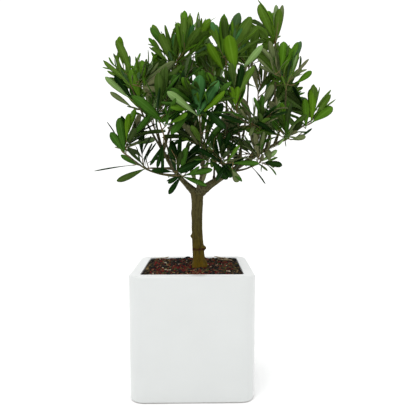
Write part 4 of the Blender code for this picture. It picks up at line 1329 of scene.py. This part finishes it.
def leaf_grids(leaves, rng):
    """Leaves as grids: rows along the blade and eight points round it, with rib groove, curl and twist.

    A point is root + way * length * u + side * half width * q + up * (arch + section), where u runs from
    root to tip and q across; the section bends down towards the margins and has a groove on the rib."""
    count = len(leaves)
    root, way, side, up = (np.array([leaf[key] for leaf in leaves]) for key in ("root", "way", "side", "up"))
    length = np.array([leaf["length"] for leaf in leaves])[:, None, None]
    width = np.array([leaf["width"] for leaf in leaves])[:, None, None]
    u = np.array(LEAF_ROWS)[None, :, None]
    q = np.array(LEAF_RING)[None, None, :]
    half = 0.5 * width * np.array(LEAF_HALVES)[None, :, None]
    half = np.maximum(half, LEAF_FOOT * (u < 0.95))
    arch = rng.uniform(-0.01, 0.11, (count, 1, 1)) * 4.0 * length * u * (1.0 - u)
    droop = rng.uniform(-0.05, 0.07, (count, 1, 1)) * length * u ** 3
    sway = rng.uniform(-0.05, 0.05, (count, 1, 1)) * length * u ** 2
    twist = rng.uniform(-0.38, 0.38, (count, 1, 1)) * u
    curl = rng.uniform(0.10, 0.34, (count, 1, 1)) * half
    face = np.array(LEAF_SIDES)[None, None, :]
    section = -curl * q ** 2 + 0.5 * LEAF_THIN * face * (1.0 - q ** 2) - np.where(q == 0.0, 0.05, 0.0) * half
    wave = 0.05 * half * np.sin(5.0 * u + rng.uniform(0.0, 6.0, (count, 1, 1))) * np.abs(q)
    section = section + wave
    out = half * q * np.cos(twist) - section * np.sin(twist) + sway
    lift = half * q * np.sin(twist) + section * np.cos(twist) + arch - droop
    grid = root[:, None, None] + way[:, None, None] * (length * u + 0 * q)[..., None]
    grid = grid + side[:, None, None] * out[..., None] + up[:, None, None] * lift[..., None]
    places = np.broadcast_to(np.stack(np.broadcast_arrays(u, 0.5 + 0.5 * q), -1), grid.shape[:-1] + (2,))
    return grid, places


def spray_kind(twig, rng):
    """Which green a spray has: brighter high up and to the sides, darker in the middle of the crown; painted light
    and shade.
    """
    tip = twig["path"][-1]
    height = (tip.z - CROWN_LOW) / (CROWN_HIGH - CROWN_LOW)
    level = Vector((tip.x, DEPTH_SHARE * tip.y, tip.z))
    # Painted light and shade: a spray is brighter the higher and further out it sits in the crown.
    light = 0.75 * height + 0.45 * outward(level) + rng.uniform(-0.16, 0.16)
    inner_right = tip.x > OLIVE_SIDE[0] and tip.z < OLIVE_SIDE[1] and outward(tip) < 0.85
    if inner_right and rng.random() < OLIVE_SHARE:
        return "grey"
    for limit, name in KIND_LIMITS:
        if light < limit:
            return name
    return KIND_LIMITS[-1][1]


def make_leaves(masses, single):
    """Every leaf in its own outline, joined by the green of its spray; the masses' solids stand aside."""
    rng = np.random.default_rng(5)
    dealt = random.Random(17)
    sprays = {kind[0]: [] for kind in LEAF_KINDS}
    widths = {kind[0]: kind[-1] for kind in LEAF_KINDS}
    for mass in masses:
        kinds = {id(twig): spray_kind(twig, dealt) for twig in mass.twigs}
        for leaf in mass.leaves:
            kind = kinds[id(leaf["twig"])]
            deal = dealt.random()
            if deal < DARKER_SHARE:
                kind = DARKER[kind]
            elif deal > 1.0 - PALER_SHARE:
                kind = PALER[kind]
            sprays[kind].append({**leaf, "width": leaf["width"] * widths[kind]})
    for kind, leaf in single:
        sprays[kind].append(leaf)
    made = []
    for name, colour, second, under, under_second, _ in LEAF_KINDS:
        if not sprays[name]:
            continue
        skin = Skin()
        grid, places = leaf_grids(sprays[name], rng)
        skin.add(grid, places, [1, 1, 1, 1, 0, 0, 0, 0])
        above = leaf_finish("leaf_" + name, colour, second, 0.42)
        below = leaf_finish("underside_" + name, under, under_second, 0.6)
        made.append(skin.build("leaves_" + name, [above, below]))
    return made


def make_twigs(masses, stems):
    """All twigs of the masses as tapering rings, swollen a little where leaf pairs sit, and the single stems."""
    skin = Skin()
    for start, end in stems:
        if (end - start).length > 0.8:
            path, along = smooth_path([start, 0.5 * (start + end) - 0.08 * (end - start).length * UP, end], 1.0)
            skin.add(carried(path, 7, lambda angle: SPRAY_STEM + 0.0 * (along[:, None] + angle[None, :]))[0][None])
    for mass in masses:
        for twig in mass.twigs:
            path, along = smooth_path(twig["path"], 2.0)
            share = along / along[-1]
            size = np.interp(share, [0.0, 1.0], [TWIG_SHOWN * twig["radii"][0], 0.34])
            size = size * (1.0 + 0.16 * np.maximum(0.0, np.cos(share * 6.0 * np.pi)) ** 4)
            size[-1] *= 0.4
            skin.add(carried(path, 7, lambda angle: size[:, None] + 0.0 * angle[None, :])[0][None])
    return skin.build("twigs", [twig_finish()], [mass.name for mass in masses])


# ---- Stage ----


def make_stage():
    """Plain white floor, white surround, soft lamps and the camera at the photo's angle."""
    mesh = bpy.data.meshes.new("floor")
    far = 6.0
    mesh.from_pydata([(-far, -far, 0.0), (far, -far, 0.0), (far, far, 0.0), (-far, far, 0.0)], [], [[0, 1, 2, 3]])
    floor = bpy.data.objects.new("floor", mesh)
    bpy.context.scene.collection.objects.link(floor)
    mesh.materials.append(Finish("white_floor", FLOOR_WHITE, 0.9).mat)
    world = bpy.data.worlds.new("white_surround")
    world.use_nodes = True
    sky = world.node_tree.nodes["Background"]
    sky.inputs["Color"].default_value = (1.0, 1.0, 1.0, 1.0)
    sky.inputs["Strength"].default_value = SKY_STRENGTH
    bpy.context.scene.world = world
    for name, place, size, power in LAMPS:
        light = bpy.data.lights.new(name, "AREA")
        light.shape = "DISK"
        light.size = size
        light.energy = power
        lamp = bpy.data.objects.new(name, light)
        lamp.location = place
        lamp.rotation_euler = (Vector((0.02, 0.0, 0.25)) - Vector(place)).to_track_quat("-Z", "Y").to_euler()
        bpy.context.scene.collection.objects.link(lamp)
    lens = bpy.data.cameras.new("camera")
    lens.lens = CAMERA_LENS
    lens.sensor_width = 36.0
    lens.clip_start = 0.01
    camera = bpy.data.objects.new("camera", lens)
    camera.location = Vector(CAMERA_PLACE) * MM
    camera.rotation_euler = (math.radians(90.0 - CAMERA_DOWN), 0.0, math.radians(-CAMERA_RIGHT))
    bpy.context.scene.collection.objects.link(camera)
    bpy.context.scene.camera = camera
    bpy.context.scene.view_settings.view_transform = "Standard"


def main():
    limbs = grow_skeleton()
    masses = grow_masses(limbs, limb_shapes(limbs))
    for number, mass in enumerate(masses):
        fine_growth(mass, number)
    make_pot()
    make_soil()
    make_grit()
    make_chips()
    make_trunk(limbs)
    make_boughs(limbs)
    stems, single = single_sprays(limbs, masses)
    make_twigs(masses, stems)
    make_leaves(masses, single)
    make_stage()


main()
